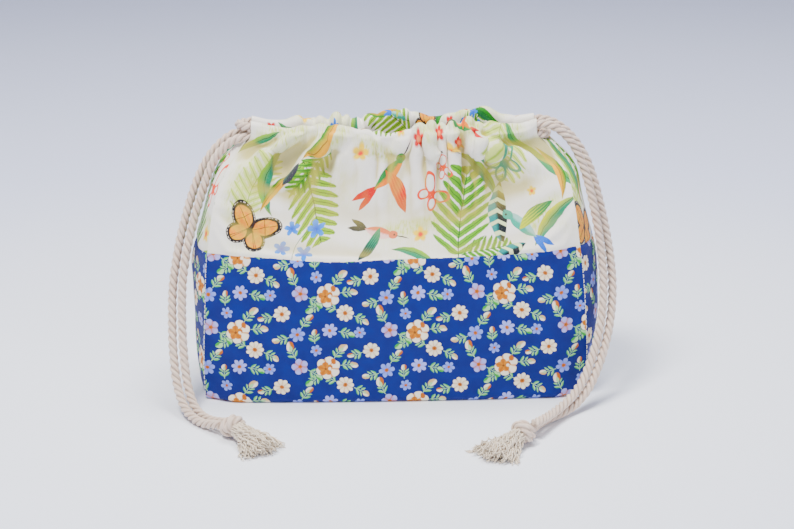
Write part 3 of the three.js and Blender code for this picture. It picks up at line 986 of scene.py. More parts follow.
# Routes of the four rope tails, from the casing's end down the side and along the surface to the
# knot, the same points as the CAD source's.
TAIL_ROUTES = {
    "left_cord_front_tail": [
        (-93.3, -8, 168), (-99, -8.4, 168), (-105, -9, 166), (-111, -10, 161.5), (-116.3, -11, 155),
        (-120.5, -12.5, 146.5), (-124, -14.5, 137), (-127, -17, 128), (-130, -20, 119),
        (-132.5, -23, 109.5), (-135, -26, 100), (-137, -30, 89), (-138.5, -33.5, 78),
        (-139, -38, 66), (-139, -43, 54), (-138.5, -48.5, 42), (-137.5, -54, 30.5),
        (-136, -59.5, 20), (-133.5, -66, 11.5), (-130, -73, 6), (-125, -81, 3.6),
        (-119, -88.5, 3.6), (-113, -95.3, 5.2), (-107.3, -101.6, 7.2),
    ],
    "left_cord_back_tail": [
        (-93.3, 8, 168), (-99, 7.8, 168.3), (-106, 6.5, 166.8), (-113, 4, 162), (-119.5, 1, 155.5),
        (-125, -2.5, 147), (-129.5, -6.5, 137.5), (-133, -10, 128), (-136, -13.5, 118.5),
        (-138.7, -17, 109), (-141, -20.5, 99.5), (-143, -24.5, 89), (-144.7, -29, 78),
        (-145.5, -34, 66), (-145.6, -39.5, 54), (-145.3, -45.5, 42), (-144.4, -52, 30.5),
        (-142.9, -58.5, 20.5), (-140.3, -66, 12), (-136.3, -74.5, 6), (-130.8, -84, 3.6),
        (-124.5, -92.5, 3.4), (-118.2, -99.4, 5.2), (-112.4, -105.7, 7.2),
    ],
    "right_cord_front_tail": [
        (93.3, -8, 175), (99, -8.3, 175), (105.5, -9, 173), (111.5, -10, 168.5), (117, -11, 162),
        (121.3, -12.5, 153.5), (124.8, -14.5, 144.5), (127.5, -16.5, 135), (129.7, -19, 125.5),
        (131.7, -21.5, 116), (133.4, -24.5, 106), (134.7, -27.5, 96), (135.6, -31, 86),
        (136, -35, 75.5), (135.4, -39.5, 64.5), (134, -44, 54), (131.7, -48.8, 44),
        (128.5, -54, 34.5), (124.5, -60, 26), (119.8, -66.8, 18.8), (114.3, -74, 13.7),
        (108.5, -81.5, 10.7), (102.5, -89.5, 9), (96.5, -97.8, 8.4), (91.3, -106.3, 8.9),
        (86.4, -114.6, 10), (81.7, -121.9, 11),
    ],
    "right_cord_back_tail": [
        (93.3, 8, 175), (99, 7.8, 175), (106, 7, 173), (113, 5.5, 168.5), (119.5, 3.5, 162),
        (125, 1, 154), (129.3, -2, 145), (132.5, -5, 135.5), (135, -8, 126), (137.3, -11.5, 116),
        (139.3, -15, 106), (141, -19, 96), (142.2, -23.5, 85.5), (142.8, -28.5, 74.5),
        (142.3, -34, 63.5), (140.7, -40, 52.5), (138, -46.5, 42), (134.3, -53, 32),
        (129.5, -60, 22.5), (123.5, -67.5, 13.5), (115.5, -75.5, 7), (107.5, -82.5, 4),
        (100, -88.8, 3.3), (92.8, -95.8, 3.3), (86.8, -104, 3.5), (82.6, -112.2, 4.4),
        (79.2, -119.7, 5.6),
    ],
}

# Each knot's centre and the way its tassel points, as an angle from +X towards +Y.
KNOTS = {
    "left": {"centre": (-105, -110, 8.2), "angle": -0.9},
    "right": {"centre": (75, -127, 8.2), "angle": -2.32},
}
KNOT_HALF = 7.0
TAIL_EXIT_OVERLAP = 6.0


def strand_section():
    """Radius and angle of the section of three strands laid together."""
    angles = np.arange(STRANDS * SECTION_POINTS) * 2 * math.pi / (STRANDS * SECTION_POINTS)
    lobe = 2 * math.pi / STRANDS
    near = (angles + lobe / 2) % lobe - lobe / 2
    inner = STRAND_RADIUS**2 - (STRAND_OFFSET * np.sin(near)) ** 2
    return angles, STRAND_OFFSET * np.cos(near) + np.sqrt(np.maximum(inner, 0.0))


def mark_groove_shade(rope):
    """Stores where the strands meet, for the painted shade in the grooves between them."""
    _, radii = strand_section()
    depth = ease(radii.max() - radii, 0.25, 1.2)
    store(rope, "groove", np.tile(depth, len(rope.data.vertices) // len(radii)))


def rope_tube(line, scale=1.0, phase=0.0):
    """A laid rope along a line."""
    along = distances(line)
    angles, radii = strand_section()
    turned = angles - 2 * math.pi * along[:, None] / ROPE_PITCH + phase
    reach = np.broadcast_to(radii * scale, turned.shape)
    return tube_mesh(line, angles, turned, reach, along / UV_UNIT)


def thread_tube(line, radius, sides):
    """A thin round yarn or thread along a line, narrower at its far end."""
    angles = np.arange(sides) * 2 * math.pi / sides
    taper = radius * (1 - 0.55 * ease(np.linspace(0, 1, len(line)), 0.9, 1.0))
    turned = np.broadcast_to(angles, (len(line), sides))
    return tube_mesh(line, angles, turned, taper[:, None], np.linspace(0, 0.34, len(line)))


def rope_object(name, parts, material):
    points, faces, uv = join_parts(parts)
    piece = make_object(name, points, faces, material, uv)
    return piece


def add_rope(name, line, phase=0.0):
    rope = rope_object(name, [rope_tube(line, phase=phase)], ROPE_MATERIAL)
    mark_groove_shade(rope)
    return rope


def knot_frame(side):
    """A knot's centre, and the directions along its tassel, across it and up."""
    place = KNOTS[side]
    angle = place["angle"]
    axis = np.array([math.cos(angle), math.sin(angle), 0.0])
    across = np.array([-math.sin(angle), math.cos(angle), 0.0])
    return np.array(place["centre"], float), axis, across, np.array([0, 0, 1.0])


def knot_line(side, turns, radius, start_angle, lean):
    """A rope's line round the knot's axis, coming from the axis and going back to it."""
    centre, axis, across, up = knot_frame(side)
    t = np.linspace(0, 1, 140)
    angle = start_angle + 2 * math.pi * turns * t
    reach = radius * (ease(t, 0.0, 0.12) - ease(t, 0.88, 1.0) * 0.85)
    along = (t - 0.5) * (2 * KNOT_HALF - 5.5) + lean * np.sin(angle + 0.6) * reach / radius
    line = (
        centre
        + axis * along[:, None]
        + across * (reach * np.cos(angle))[:, None]
        + up * (reach * np.sin(angle))[:, None]
    )
    line[:, 2] = np.maximum(line[:, 2], 3.1)
    return resample(line[::6], 0.6)


def add_knot(side):
    coil = knot_line(side, 2.35, 4.9, 2.2, 1.6)
    bight = knot_line(side, 0.9, 4.2, -0.4, 5.0)
    parts = [rope_tube(coil, 0.95), rope_tube(bight, 0.9, 1.0)]
    knot = rope_object(f"{side}_rope_knot", parts, ROPE_MATERIAL)
    mark_groove_shade(knot)
    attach(knot, f"{side}_cord")
    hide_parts(f"{side}_cord_knot")
    return knot


TASSEL_YARNS = 190
TASSEL_LENGTH = 34.0
TASSEL_SPREAD = 18.5
TASSEL_HEIGHT = 10.5
YARN_RADIUS = 0.42
YARN_SIDES = 5


def yarn_line(rng, side):
    """One yarn of a tassel: out of the knot, spreading and wavy, and down to the surface."""
    centre, axis, across, _ = knot_frame(side)
    t = np.linspace(0, 1, 26)
    start_angle = rng.uniform(0, 2 * math.pi)
    start_reach = 5.2 * math.sqrt(rng.uniform(0, 1))
    spread = rng.normal(0, 0.48)
    spread = max(-0.95, min(0.95, spread))
    length = TASSEL_LENGTH * rng.uniform(0.78, 1.06) * (1 - 0.18 * abs(spread))
    side_way = start_reach * math.cos(start_angle) * (1 - 0.5 * t) + TASSEL_SPREAD * spread * t**1.15
    height = rng.uniform(0, 1)
    rise = start_reach * math.sin(start_angle)
    top = centre[2] - 1.0 + rise
    floor = 0.6 + TASSEL_HEIGHT * height * (1 - spread**2)
    z = top + (floor - top) * ease(t, 0.0, 0.75) - 2.2 * ease(t, 0.7, 1.0) * height
    wave = rng.uniform(5.0, 9.0)
    size = rng.uniform(0.35, 1.15) * ease(t, 0.0, 0.35)
    phase = rng.uniform(0, 2 * math.pi)
    sway = size * np.sin(2 * math.pi * t * length / wave + phase)
    lift = size * np.cos(2 * math.pi * t * length / wave + phase)
    ahead = axis * (KNOT_HALF - 2.0 + length * t)[:, None]
    line = centre + ahead + across * (side_way + sway)[:, None]
    line[:, 2] = np.maximum(z + lift, 0.55)
    return line


def add_tassel(side, seed):
    rng = np.random.default_rng(seed)
    yarns = [thread_tube(yarn_line(rng, side), YARN_RADIUS, YARN_SIDES) for _ in range(TASSEL_YARNS)]
    tassel = rope_object(f"{side}_tassel_yarns", yarns, YARN_MATERIAL)
    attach(tassel, f"{side}_cord")
    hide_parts(f"{side}_cord_tassel")
    return tassel


def tail_line(name):
    """The tail's route with a short stretch inside the casing before it."""
    route = [np.array(p, float) for p in TAIL_ROUTES[name]]
    start = route[0]
    inside = start - np.sign(start[0]) * np.array([TAIL_EXIT_OVERLAP, 0, 0])
    return resample([inside, *route], ROPE_STEP)


def add_tail(side, face, phase):
    name = f"{side}_cord_{face}_tail"
    line = tail_line(name)
    rope = add_rope(f"{side}_{face}_rope_tail", line, phase)
    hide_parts(name)
    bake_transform(rope)


def add_cords():
    for side, seed in (("left", 11), ("right", 23)):
        on_it = [add_knot(side), add_tassel(side, seed)]
        add_tail(side, "front", 0.4)
        add_tail(side, "back", 2.1)


add_camera()
add_backdrop()
add_lights()
add_cords()

# ==== The bag's form ====

CLOTH_HALF = 125.0
CLOTH_THICKNESS = 0.7
GUSSET_HALF = 50
# How far the prints are shifted along each long wall and each gusset, and up the lower gussets.
WALL_PRINT_SHIFT = 13
GUSSET_PRINT_SHIFT = 190
GUSSET_PRINT_RISE = 22
# The upper gussets' top edge: its height in the middle and how much more it is at the corners.
GUSSET_TOP = 163.6
GUSSET_TOP_RISE = 2.4
SEAM_TUCK = 0.9
SEAM_TUCK_REACH = 1.3
# How far the cloth's lowest edge is above the surface, and how it rounds in under the bag.
LOWEST = 0.3
FLOOR_ROUND = 3.5

# The walls' outlines by height: half width, lean to the right, bow of the long walls, bulge of the
# gussets, what the right one bulges more, and how far the corners are rounded off.
WIDTH_AT = smooth_curve(
    [0, 24, 60, SEAM_Z, 104, 128, 148, CASING_Z, 170, 178],
    [
        HALF_WIDTH + 0.6, HALF_WIDTH + 0.8, HALF_WIDTH - 1, 121, 119.6, 116.2, 110.4, 101,
        MOUTH_END + 0.8, MOUTH_END,
    ],
)
LEAN_AT = smooth_curve([0, 60, 104, 132, 150, 162, 170], [0, -0.3, -1.2, -0.8, 0.7, 0.3, 0])
BOW_AT = smooth_curve([0, 20, 55, SEAM_Z, 120], [3.2, 4.6, 6.0, 4.6, 4.0])
BULGE_AT = smooth_curve([0, 12, 45, 80, 105, 130, 150, CASING_Z], [2.0, 4.0, 8.5, 11.0, 9.0, 5.0, 3.0, 2.0])
RIGHT_BULGE = smooth_curve([0, 40, 94, 130, 150, 163], [0.5, 2.5, 4.0, 3.5, 2.6, 1.2])
CORNER_AT = smooth_curve([0, 40, SEAM_Z, 130], [7.5, 6.5, 5.5, 3.0])

# How far the seam between the two cottons rises above SEAM_Z, across a long wall.
SEAM_RISE = smooth_curve([-1, -0.8, -0.35, 0, 0.45, 0.8, 1], [7.0, 6.3, 2.6, 4.0, 5.0, 7.0, 9.0])
GUSSET_SEAM_DIP = 2.5

# How far a long wall has leaned in, from its seam to its casing.
LEAN_IN = smooth_curve([0, 0.25, 0.46, 0.66, 0.84, 1], [0, 0.10, 0.245, 0.45, 0.70, 1])

# Where along the mouth each place across the flat cloth is drawn to. The right half is bunched more.
DRAWN_TO = smooth_curve([-125, -37, 83, 125], [-MOUTH_END, -20, 60, MOUTH_END])

# The upper rope lane along the mouth, and the casings' top edges.
FRONT_LANE = smooth_curve([-93, -70, -40, -4, 30, 70, 93], [175, 170.8, 170.8, 167.2, 170.6, 170.8, 175])
BACK_LANE = smooth_curve([-93, -70, -24, 0, 31, 61, 93], [175, 170.6, 168.6, 172, 171, 173.6, 175])
FRONT_TOP = smooth_curve(
    [-93, -71, -50, -30, -17, -5, 4, 11, 20, 39, 49, 58, 81, 93],
    [179, 175, 176.5, 174.8, 173.2, 171.6, 171.8, 174, 175.6, 176.4, 178.4, 175.8, 175.2, 179],
)
BACK_TOP = smooth_curve(
    [-93, -74, -61, -48, -31, -24, -14, -2, 11, 21, 31, 41, 51, 61, 71, 84, 93],
    [179, 174.6, 175.8, 174.6, 176.2, 172.4, 176.4, 180, 179.6, 176.6, 175, 179, 181, 183, 178.2, 177, 179],
)
MOUTH_HALF = 93
LANE_SPACING = 6.7
CASING_BELOW_LANE = 11.2
CASING_HALF = 3.8
CASING_ROUND = 3.2
STITCHED_HALF = 2.6


def mouth_offset(x):
    """How far a casing's middle runs from the bag's middle plane."""
    return 8 + 6 * np.cos(math.pi * np.clip(x, -MOUTH_HALF, MOUTH_HALF) / (2 * MOUTH_HALF))


def lane_at(side, x):
    """Height of the upper rope in a casing, along the mouth."""
    return FRONT_LANE(x) if side < 0 else BACK_LANE(x)


def casing_bottom(side, u):
    """Height of a casing's lower stitching, for flat cloth place u."""
    return lane_at(side, DRAWN_TO(u)) - CASING_BELOW_LANE


def seam_height(p):
    """Height of the seam between the two cottons, for p of -1 to 1 across a wall."""
    return SEAM_Z + SEAM_RISE(p)


def floor_inset(z):
    """How far the cloth turns in under the bag, close to the surface that it stands on."""
    below = np.clip(FLOOR_ROUND - np.asarray(z, float), 0, FLOOR_ROUND)
    return FLOOR_ROUND - np.sqrt(FLOOR_ROUND**2 - below**2)


def long_wall(side, u, z):
    """x and depth of a long wall's outer face, for flat cloth place u and height z."""
    p = u / CLOTH_HALF
    bottom = casing_bottom(side, u)
    f = np.clip((z - seam_height(p)) / (bottom - seam_height(p)), 0, 1)
    drawn = ease(f, -0.15, 1.05)
    across = p * (1 - drawn) + DRAWN_TO(u) / MOUTH_END * drawn
    x = LEAN_AT(z) + across * (WIDTH_AT(z) - floor_inset(z))
    corner = CORNER_AT(z) * ease(np.abs(p), 0.80, 1.0) ** 1.5
    low = HALF_DEPTH + BOW_AT(z) * (1 - p**2) - corner - floor_inset(z)
    high = mouth_offset(x) + STITCHED_HALF
    return x, low + (high - low) * LEAN_IN(f)


def grid_normals(points):
    """Unit normals of a grid of points."""
    down = np.gradient(points, axis=0)
    across = np.gradient(points, axis=1)
    return unit(np.cross(across, down))


def outward_normals(points, outward, rows=None):
    """Unit normals of a grid, turned to face, over its first rows, along outward, and their sign."""
    normals = grid_normals(points)
    sign = 1 if (normals[:rows] * np.asarray(outward, float)).sum() > 0 else -1
    return normals * sign, sign


def smoothed(grid, passes):
    """A grid of points or directions after averaging each with its neighbours."""
    grid = grid.copy()
    for _ in range(passes):
        grid[1:-1] = (grid[:-2] + 2 * grid[1:-1] + grid[2:]) / 4
        grid[:, 1:-1] = (grid[:, :-2] + 2 * grid[:, 1:-1] + grid[:, 2:]) / 4
    return grid


# The simulation runs at ten times life size, where the cloth behaves best.
SETTLE_SCALE = 0.01
SETTLE_FRAMES = 13


def doubled(grid, axis):
    """A grid with a point added midway between each two along an axis, on a smooth curve."""
    p = np.moveaxis(grid, axis, 0)
    first = 2 * p[:1] - p[1:2]
    last = 2 * p[-1:] - p[-2:-1]
    q = np.concatenate([first, p, last])
    middle = (9 * (q[1:-2] + q[2:-1]) - q[:-3] - q[3:]) / 16
    out = np.empty((2 * len(p) - 1,) + p.shape[1:])
    out[0::2] = p
    out[1::2] = middle
    return np.moveaxis(out, 0, axis)


# A light cotton that keeps its flat size, blown out a little.
CLOTH_SETTINGS = {
    "quality": 7,
    "mass": 0.2,
    "air_damping": 2.0,
    "tension_stiffness": 60,
    "compression_stiffness": 60,
    "shear_stiffness": 12,
    "bending_stiffness": 1.2,
    "vertex_group_mass": "held",
    "use_pressure": True,
    "uniform_pressure_force": 0.25,
}


def add_cloth(obj):
    """The simulation, from the flat shape key's size."""
    cloth = obj.modifiers.new("settle", "CLOTH")
    for name, value in CLOTH_SETTINGS.items():
        setattr(cloth.settings, name, value)
    cloth.settings.rest_shape_key = obj.data.shape_keys.key_blocks["flat"]
    cloth.collision_settings.use_collision = False


def settled(points, uv, held):
    """The cloth of every second point after it has found its own folds, from its flat size."""
    coarse = points[::2, ::2]
    flat = uv[::2, ::2] * UV_UNIT
    rows, columns = coarse.shape[:2]
    mesh = bpy.data.meshes.new("settling")
    start = (coarse.reshape(-1, 3) * SETTLE_SCALE).tolist()
    mesh.from_pydata(start, [], grid_faces(rows, columns).tolist())
    obj = bpy.data.objects.new("settling", mesh)
    bpy.context.scene.collection.objects.link(obj)
    obj.shape_key_add(name="Basis")
    key = obj.shape_key_add(name="flat")
    plane = np.concatenate([flat, np.zeros((rows, columns, 1))], -1).reshape(-1, 3) * SETTLE_SCALE
    key.data.foreach_set("co", plane.ravel())
    group = obj.vertex_groups.new(name="held")
    group.add([int(i) for i in np.flatnonzero(held[::2, ::2].ravel())], 1.0, "REPLACE")
    add_cloth(obj)
    scene = bpy.context.scene
    for frame_number in range(1, SETTLE_FRAMES + 1):
        scene.frame_set(frame_number)
    graph = bpy.context.evaluated_depsgraph_get()
    moved = np.zeros(rows * columns * 3)
    obj.evaluated_get(graph).data.vertices.foreach_get("co", moved)
    bpy.data.objects.remove(obj)
    scene.frame_set(1)
    moved = moved.reshape(rows, columns, 3) / SETTLE_SCALE
    return doubled(doubled(moved, 0), 1)


def along_rows(points):
    """Distance along the middle column of a grid, from its first row."""
    return distances(points[:, points.shape[1] // 2])


# ==== Cloth pieces ====


def shell_faces(rows, columns):
    """Faces of a grid, of the same grid behind it, and of the edges between the two."""
    count = rows * columns
    front = grid_faces(rows, columns)
    back = front[:, ::-1] + count
    index = np.arange(count).reshape(rows, columns)
    ring = np.concatenate([index[0, :-1], index[:-1, -1], index[-1, :0:-1], index[:0:-1, 0]])
    after = np.roll(ring, -1)
    edges = np.stack([ring, ring + count, after + count, after], -1)
    return np.vstack([front, back, edges])


def sheet_object(name, grid, columns, material, thickness=CLOTH_THICKNESS):
    """A cloth shell from some columns of a grid of points, its normals, its uv and their sign."""
    points, normals, uv = (part[:, columns] for part in grid[:3])
    faces = shell_faces(*points.shape[:2])
    if grid[3] < 0:
        faces = faces[:, ::-1]
    both = np.concatenate([points.reshape(-1, 3), (points - normals * thickness).reshape(-1, 3)])
    obj = make_object(name, both, faces, material, np.concatenate([uv.reshape(-1, 2)] * 2))
    facing = np.concatenate([normals.reshape(-1, 3), -normals.reshape(-1, 3)])
    obj.data.normals_split_custom_set_from_vertices(facing.tolist())
    if name.endswith("_cloth"):
        mark_crease_shade(obj, points, normals)
    return obj


def mark_crease_shade(obj, points, normals):
    """Stores how deep each point lies between its neighbours, for the painted shade in the hollows of the
    gathers.
    """
    depth = ((smoothed(points, 70) - points) * normals).sum(-1)
    depth = np.clip((depth - 0.1) / 1.3, 0, 1).ravel()
    store(obj, "crease", np.concatenate([depth, 0 * depth]))


def puckers(distance, along, wavelength, size, reach, seed):
    """Small gathers that a line of stitching draws up beside it."""
    phase = 2 * math.pi * along / wavelength + 1.7 * ripple(along, 0 * along, 40, seed)
    return size * np.sin(phase) * np.exp(-np.abs(distance) / reach)


def tuck(distance):
    """How far a seam draws the cloth in, at a distance from it."""
    return SEAM_TUCK * np.exp(-((distance / SEAM_TUCK_REACH) ** 2))


def lower_long_grid(side):
    """A lower long wall's outer face, its print's places and the way that it faces."""
    columns, rows = 171, 66
    u = np.linspace(-CLOTH_HALF, CLOTH_HALF, columns)[None, :]
    p = u / CLOTH_HALF
    top = seam_height(-side * p)
    h = np.linspace(0, 1, rows)[:, None]
    z = LOWEST + (top - LOWEST) * h
    u = u + 0 * z
    x, depth = long_wall(side, u, z)
    points = np.stack([x, side * depth, z], -1)
    swell = 0.9 * ripple(u, z, 75, 3 + side) + 0.3 * ripple(u, z, 26, 8 + side)
    swell = swell * ease(h, 0, 0.12) * ease(top - z, 0, 14)
    swell += puckers(CLOTH_HALF * (1 - np.abs(p)), z, 8.5, 0.45, 6, 21)
    swell += puckers(top - z, u, 10.5, 0.35, 5, 22) - tuck(top - z)
    points[..., 1] += side * swell * (1 - np.abs(p) ** 14)
    uv = np.stack([u + WALL_PRINT_SHIFT * side, z], -1) / UV_UNIT
    return points, uv, (0, side, 0)


def corner_point(side, end, z):
    """Where a long wall's end column is, at height z."""
    u = np.full_like(z, end * CLOTH_HALF)
    x, depth = long_wall(side, u, z)
    return x, side * depth


def gusset_points(end, t, z):
    """A gusset's outer face, between the corners of the two long walls."""
    front_x, front_y = corner_point(-1, end, z)
    back_x, back_y = corner_point(1, end, z)
    share = (t + 1) / 2
    out = (BULGE_AT(z) + (RIGHT_BULGE(z) if end > 0 else 0)) * (1 - t**2) ** 0.85
    x = front_x * (1 - share) + back_x * share + end * out
    y = front_y * (1 - share) + back_y * share
    return np.stack(np.broadcast_arrays(x, y, z), -1)


def gusset_seam(end, t):
    """Height of the seam between the two cottons, across a gusset."""
    return seam_height(end) - GUSSET_SEAM_DIP * (1 - t**2)


def gusset_uv(end, t, height):
    """The print's place on a gusset, at t of -1 to 1 across it."""
    along = GUSSET_HALF * t + GUSSET_PRINT_SHIFT * end
    return np.stack(np.broadcast_arrays(along, height), -1) / UV_UNIT


def lower_gusset_grid(end):
    """The same for a lower gusset."""
    columns, rows = 71, 66
    t = np.linspace(-1, 1, columns)[None, :]
    top = gusset_seam(end, t)
    h = np.linspace(0, 1, rows)[:, None]
    z = LOWEST + (top - LOWEST) * h
    points = gusset_points(end, t + 0 * z, z)
    flat = GUSSET_HALF * t + 0 * z
    swell = 0.8 * ripple(flat, z, 55, 31 + end) + 0.3 * ripple(flat, z, 22, 41 + end)
    swell = swell * ease(h, 0, 0.12) * ease(top - z, 0, 12)
    swell += puckers(GUSSET_HALF * (1 - np.abs(t)), z, 8.5, 0.45, 6, 51 + end) - tuck(top - z)
    points[..., 0] += end * swell * (1 - np.abs(t) ** 10)
    return points, gusset_uv(end, t, z + GUSSET_PRINT_RISE), (end, 0, 0)


def upper_gusset_grid(end):
    """The same for an upper gusset, which folds more towards its top."""
    columns, rows = 97, 56
    t = np.linspace(-1, 1, columns)[None, :]
    bottom = gusset_seam(end, t)
    top = GUSSET_TOP + GUSSET_TOP_RISE * np.abs(t) ** 3
    z = bottom + (top - bottom) * np.linspace(0, 1, rows)[:, None]
    points = gusset_points(end, t + 0 * z, z)
    fold = np.abs(np.sin(2.5 * math.pi * (t + 0.06 * np.sin(5 * t)))) ** 0.8 - 0.5
    swell = 6.5 * fold * ease(z, 118, 160) ** 1.5 * (1 - np.abs(t) ** 6)
    slow = 0.6 * ripple(GUSSET_HALF * t + 0 * z, z, 40, 61 + end)
    swell = swell + slow * (1 - np.abs(t) ** 8) - tuck(z - bottom) * (1 - np.abs(t) ** 10)
    points[..., 0] += end * swell
    return points, gusset_uv(end, t, z - SEAM_Z), (end, 0, 0)


# Folds of the front's upper wall: how far each stands out, its half width on the two sides of its
# line, and the line as x and height. The back has the same folds the other way round.
FOLDS = [
    (2.6, 5.0, 5.0, [(-72, 172), (-94, 163)]),
    (-3.6, 3.0, 3.5, [(-68, 173), (-80, 165), (-93, 156)]),
    (7.0, 9.0, 3.2, [(-61, 173), (-79, 161.5), (-97, 150.5), (-112, 141)]),
    (-7.0, 5.0, 6.0, [(-55, 171), (-66, 161), (-73, 153)]),
    (4.4, 2.6, 2.6, [(-86, 156), (-80, 147), (-72, 144.5), (-62, 149.5)]),
    (5.0, 6.0, 3.2, [(-39, 173), (-50, 162), (-62, 150)]),
    (-1.8, 5.0, 5.0, [(-38, 160), (-50, 148)]),
    (1.6, 5.0, 5.0, [(-49, 161), (-15, 154)]),
    (-1.8, 6.0, 6.0, [(-7, 170), (-3, 150)]),
    (-2.2, 3.0, 3.0, [(13, 170), (18, 160)]),
    (2.6, 3.0, 4.0, [(21, 173), (24, 158)]),
    (2.2, 5.0, 5.0, [(27, 161), (36, 146), (42, 136)]),
    (2.8, 2.5, 4.0, [(34, 172), (40, 154)]),
    (-5.0, 3.5, 3.0, [(39, 168), (43, 155), (49, 150)]),
    (-3.5, 2.0, 2.0, [(43, 178), (46, 164)]),
    (4.2, 2.0, 2.8, [(49, 177), (52, 164), (53, 155)]),
    (-3.0, 3.0, 3.0, [(56, 176), (60, 168)]),
    (8.0, 3.0, 10.0, [(54, 166.5), (79, 158), (103, 147)]),
    (-6.0, 5.0, 4.0, [(74, 164), (88, 162), (100, 155)]),
    (2.8, 6.0, 5.0, [(64, 176), (86, 169)]),
]
# Valleys of the small gathers along the front casing.
VALLEYS = [-93, -79, -71, -53, -41, -25, -12, -4, 10, 19, 27, 34, 43, 51, 58, 72, 82, 93]
GATHER_SIZE = 6.2
GATHER_FADE = 20.0
# How strong the gathers are along the mouth.
GATHERED = smooth_curve(
    [-93, -60, -40, -24, -8, 8, 22, 45, 58, 68, 93],
    [0.2, 0.3, 0.5, 0.45, 0.6, 0.7, 1.1, 1.2, 0.8, 0.25, 0.2],
)


def line_distance(x, z, line):
    """Distance from each point to a line, how far along it, 0 to 1, and which side, -1 to 1."""
    best = np.full(x.shape, 1e9)
    side = np.zeros(x.shape)
    where = np.zeros(x.shape)
    line = np.array(line, float)
    starts = distances(line)
    for a, b, start in zip(line[:-1], line[1:], starts):
        length = np.linalg.norm(b - a)
        direction = (b - a) / length
        t = np.clip((x - a[0]) * direction[0] + (z - a[1]) * direction[1], 0, length)
        d = np.hypot(x - a[0] - direction[0] * t, z - a[1] - direction[1] * t)
        left = direction[0] * (z - a[1]) - direction[1] * (x - a[0])
        closer = d < best
        side = np.where(closer, left / (d + 1e-6), side)
        best = np.where(closer, d, best)
        where = np.where(closer, (start + t) / starts[-1], where)
    return best, where, side


def fold_height(side, x, z):
    """How far the cloth stands out in its large folds."""
    turned = x if side < 0 else -x
    total = np.zeros(x.shape)
    for size, right_width, left_width, line in FOLDS:
        distance, where, to_right = line_distance(turned, z, line)
        width = left_width + (right_width - left_width) * (0.5 + 0.5 * to_right)
        spread = width * (0.85 + 0.4 * where)
        total += size * np.exp(-((distance / spread) ** 2)) * (1 - 0.4 * where)
    return total


def gather_height(side, x, below):
    """How far the cloth stands out in the small gathers, fading below the casing."""
    turned = x if side < 0 else -x
    sway = 2.2 * ripple(turned, 2.5 * below, 34, 77) * ease(-below, -12, 8)
    phase = smooth_curve(VALLEYS, range(len(VALLEYS)))(turned + sway)
    uneven = 0.8 + 0.3 * np.sin(2.3 * np.floor(phase) + 0.7)
    crest = np.abs(np.sin(math.pi * phase)) ** 0.8 - 0.12 - 0.33 * ease(below, -2, 8)
    fade = np.exp(-((np.maximum(below, 0) / GATHER_FADE) ** 1.4))
    return GATHER_SIZE * uneven * crest * GATHERED(turned) * fade


# How far in front of a casing's middle the cloth has to be, and from how far below the casing.
ROPE_CLEARANCE = 3.4
CLEAR_BELOW = 12


def clear_of_ropes(points, side, u):
    """Settled cloth moved out, and smoothed, where the ropes run behind it."""
    band = slice(WALL_ROWS - 24, WALL_ROWS + OUTER_ROWS + 2)
    case = points[band]
    bottom = casing_bottom(side, u)
    from_z = bottom - CLEAR_BELOW
    least = mouth_offset(case[..., 0]) + ROPE_CLEARANCE * ease(case[..., 2], from_z, bottom + 1)
    above = case[..., 2] > from_z
    case[..., 1] = side * np.maximum(side * case[..., 1], np.where(above, least, 0))
    points[band] = smoothed(case, 4)
    return points


# The upper wall's grid: up the outside, up the casing, over its top edge and down inside.
UPPER_COLUMNS = 261
WALL_ROWS = 52
OUTER_ROWS = 14
TOP_ROWS = 9
INNER_ROWS = 14


def casing_section(bottom, top):
    """Heights of the casing's rows, and how far each is from the casing's middle."""
    rise = np.linspace(0, 1, OUTER_ROWS, endpoint=False)[:, None]
    outer_z = bottom + (top - CASING_ROUND - bottom) * rise
    outer_n = STITCHED_HALF + (CASING_HALF - STITCHED_HALF) * ease(rise, -0.1, 0.4)
    turn = np.linspace(0, math.pi, TOP_ROWS)[:, None]
    over_z = top - CASING_ROUND + CASING_ROUND * np.sin(turn)
    over_n = CASING_HALF * np.cos(turn)
    fall = np.linspace(0, 1, INNER_ROWS + 1)[1:, None]
    inner_z = top - CASING_ROUND + (bottom - 4 - top + CASING_ROUND) * fall
    inner_n = -CASING_HALF + (CASING_HALF - STITCHED_HALF) * ease(fall, 0.6, 1.0)
    return np.vstack([outer_z, over_z, inner_z]), np.vstack([outer_n, over_n, inner_n])


def plain_wall(side, u, seam, bottom):
    """The upper wall before its folds."""
    drawn_x = DRAWN_TO(u)
    wall = np.linspace(0, 1, WALL_ROWS, endpoint=False)[:, None]
    wall_z = seam + (bottom - seam) * wall
    wall_x, wall_y = long_wall(side, u + 0 * wall_z, wall_z)
    top = (FRONT_TOP if side < 0 else BACK_TOP)(drawn_x)
    case_z, case_n = casing_section(bottom, top)
    flare = ease(case_z, bottom - 3, top - 3)
    flare[OUTER_ROWS:] = 1
    case_x = drawn_x / MOUTH_END * (WIDTH_AT(case_z) * (1 - flare) + MOUTH_END * flare)
    case_x = case_x + LEAN_AT(case_z) * (1 - flare)
    case_y = mouth_offset(case_x) + case_n
    x = np.vstack([wall_x, case_x])
    y = side * np.vstack([wall_y, case_y])
    return np.stack([x, y, np.vstack([wall_z, case_z])], -1)


def held_points(shape):
    """The points that the simulation leaves alone: at the seam, the sides and inside."""
    held = np.zeros(shape, bool)
    held[:2] = True
    held[WALL_ROWS + OUTER_ROWS :] = True
    held[:, :2] = True
    held[:, -2:] = True
    return held


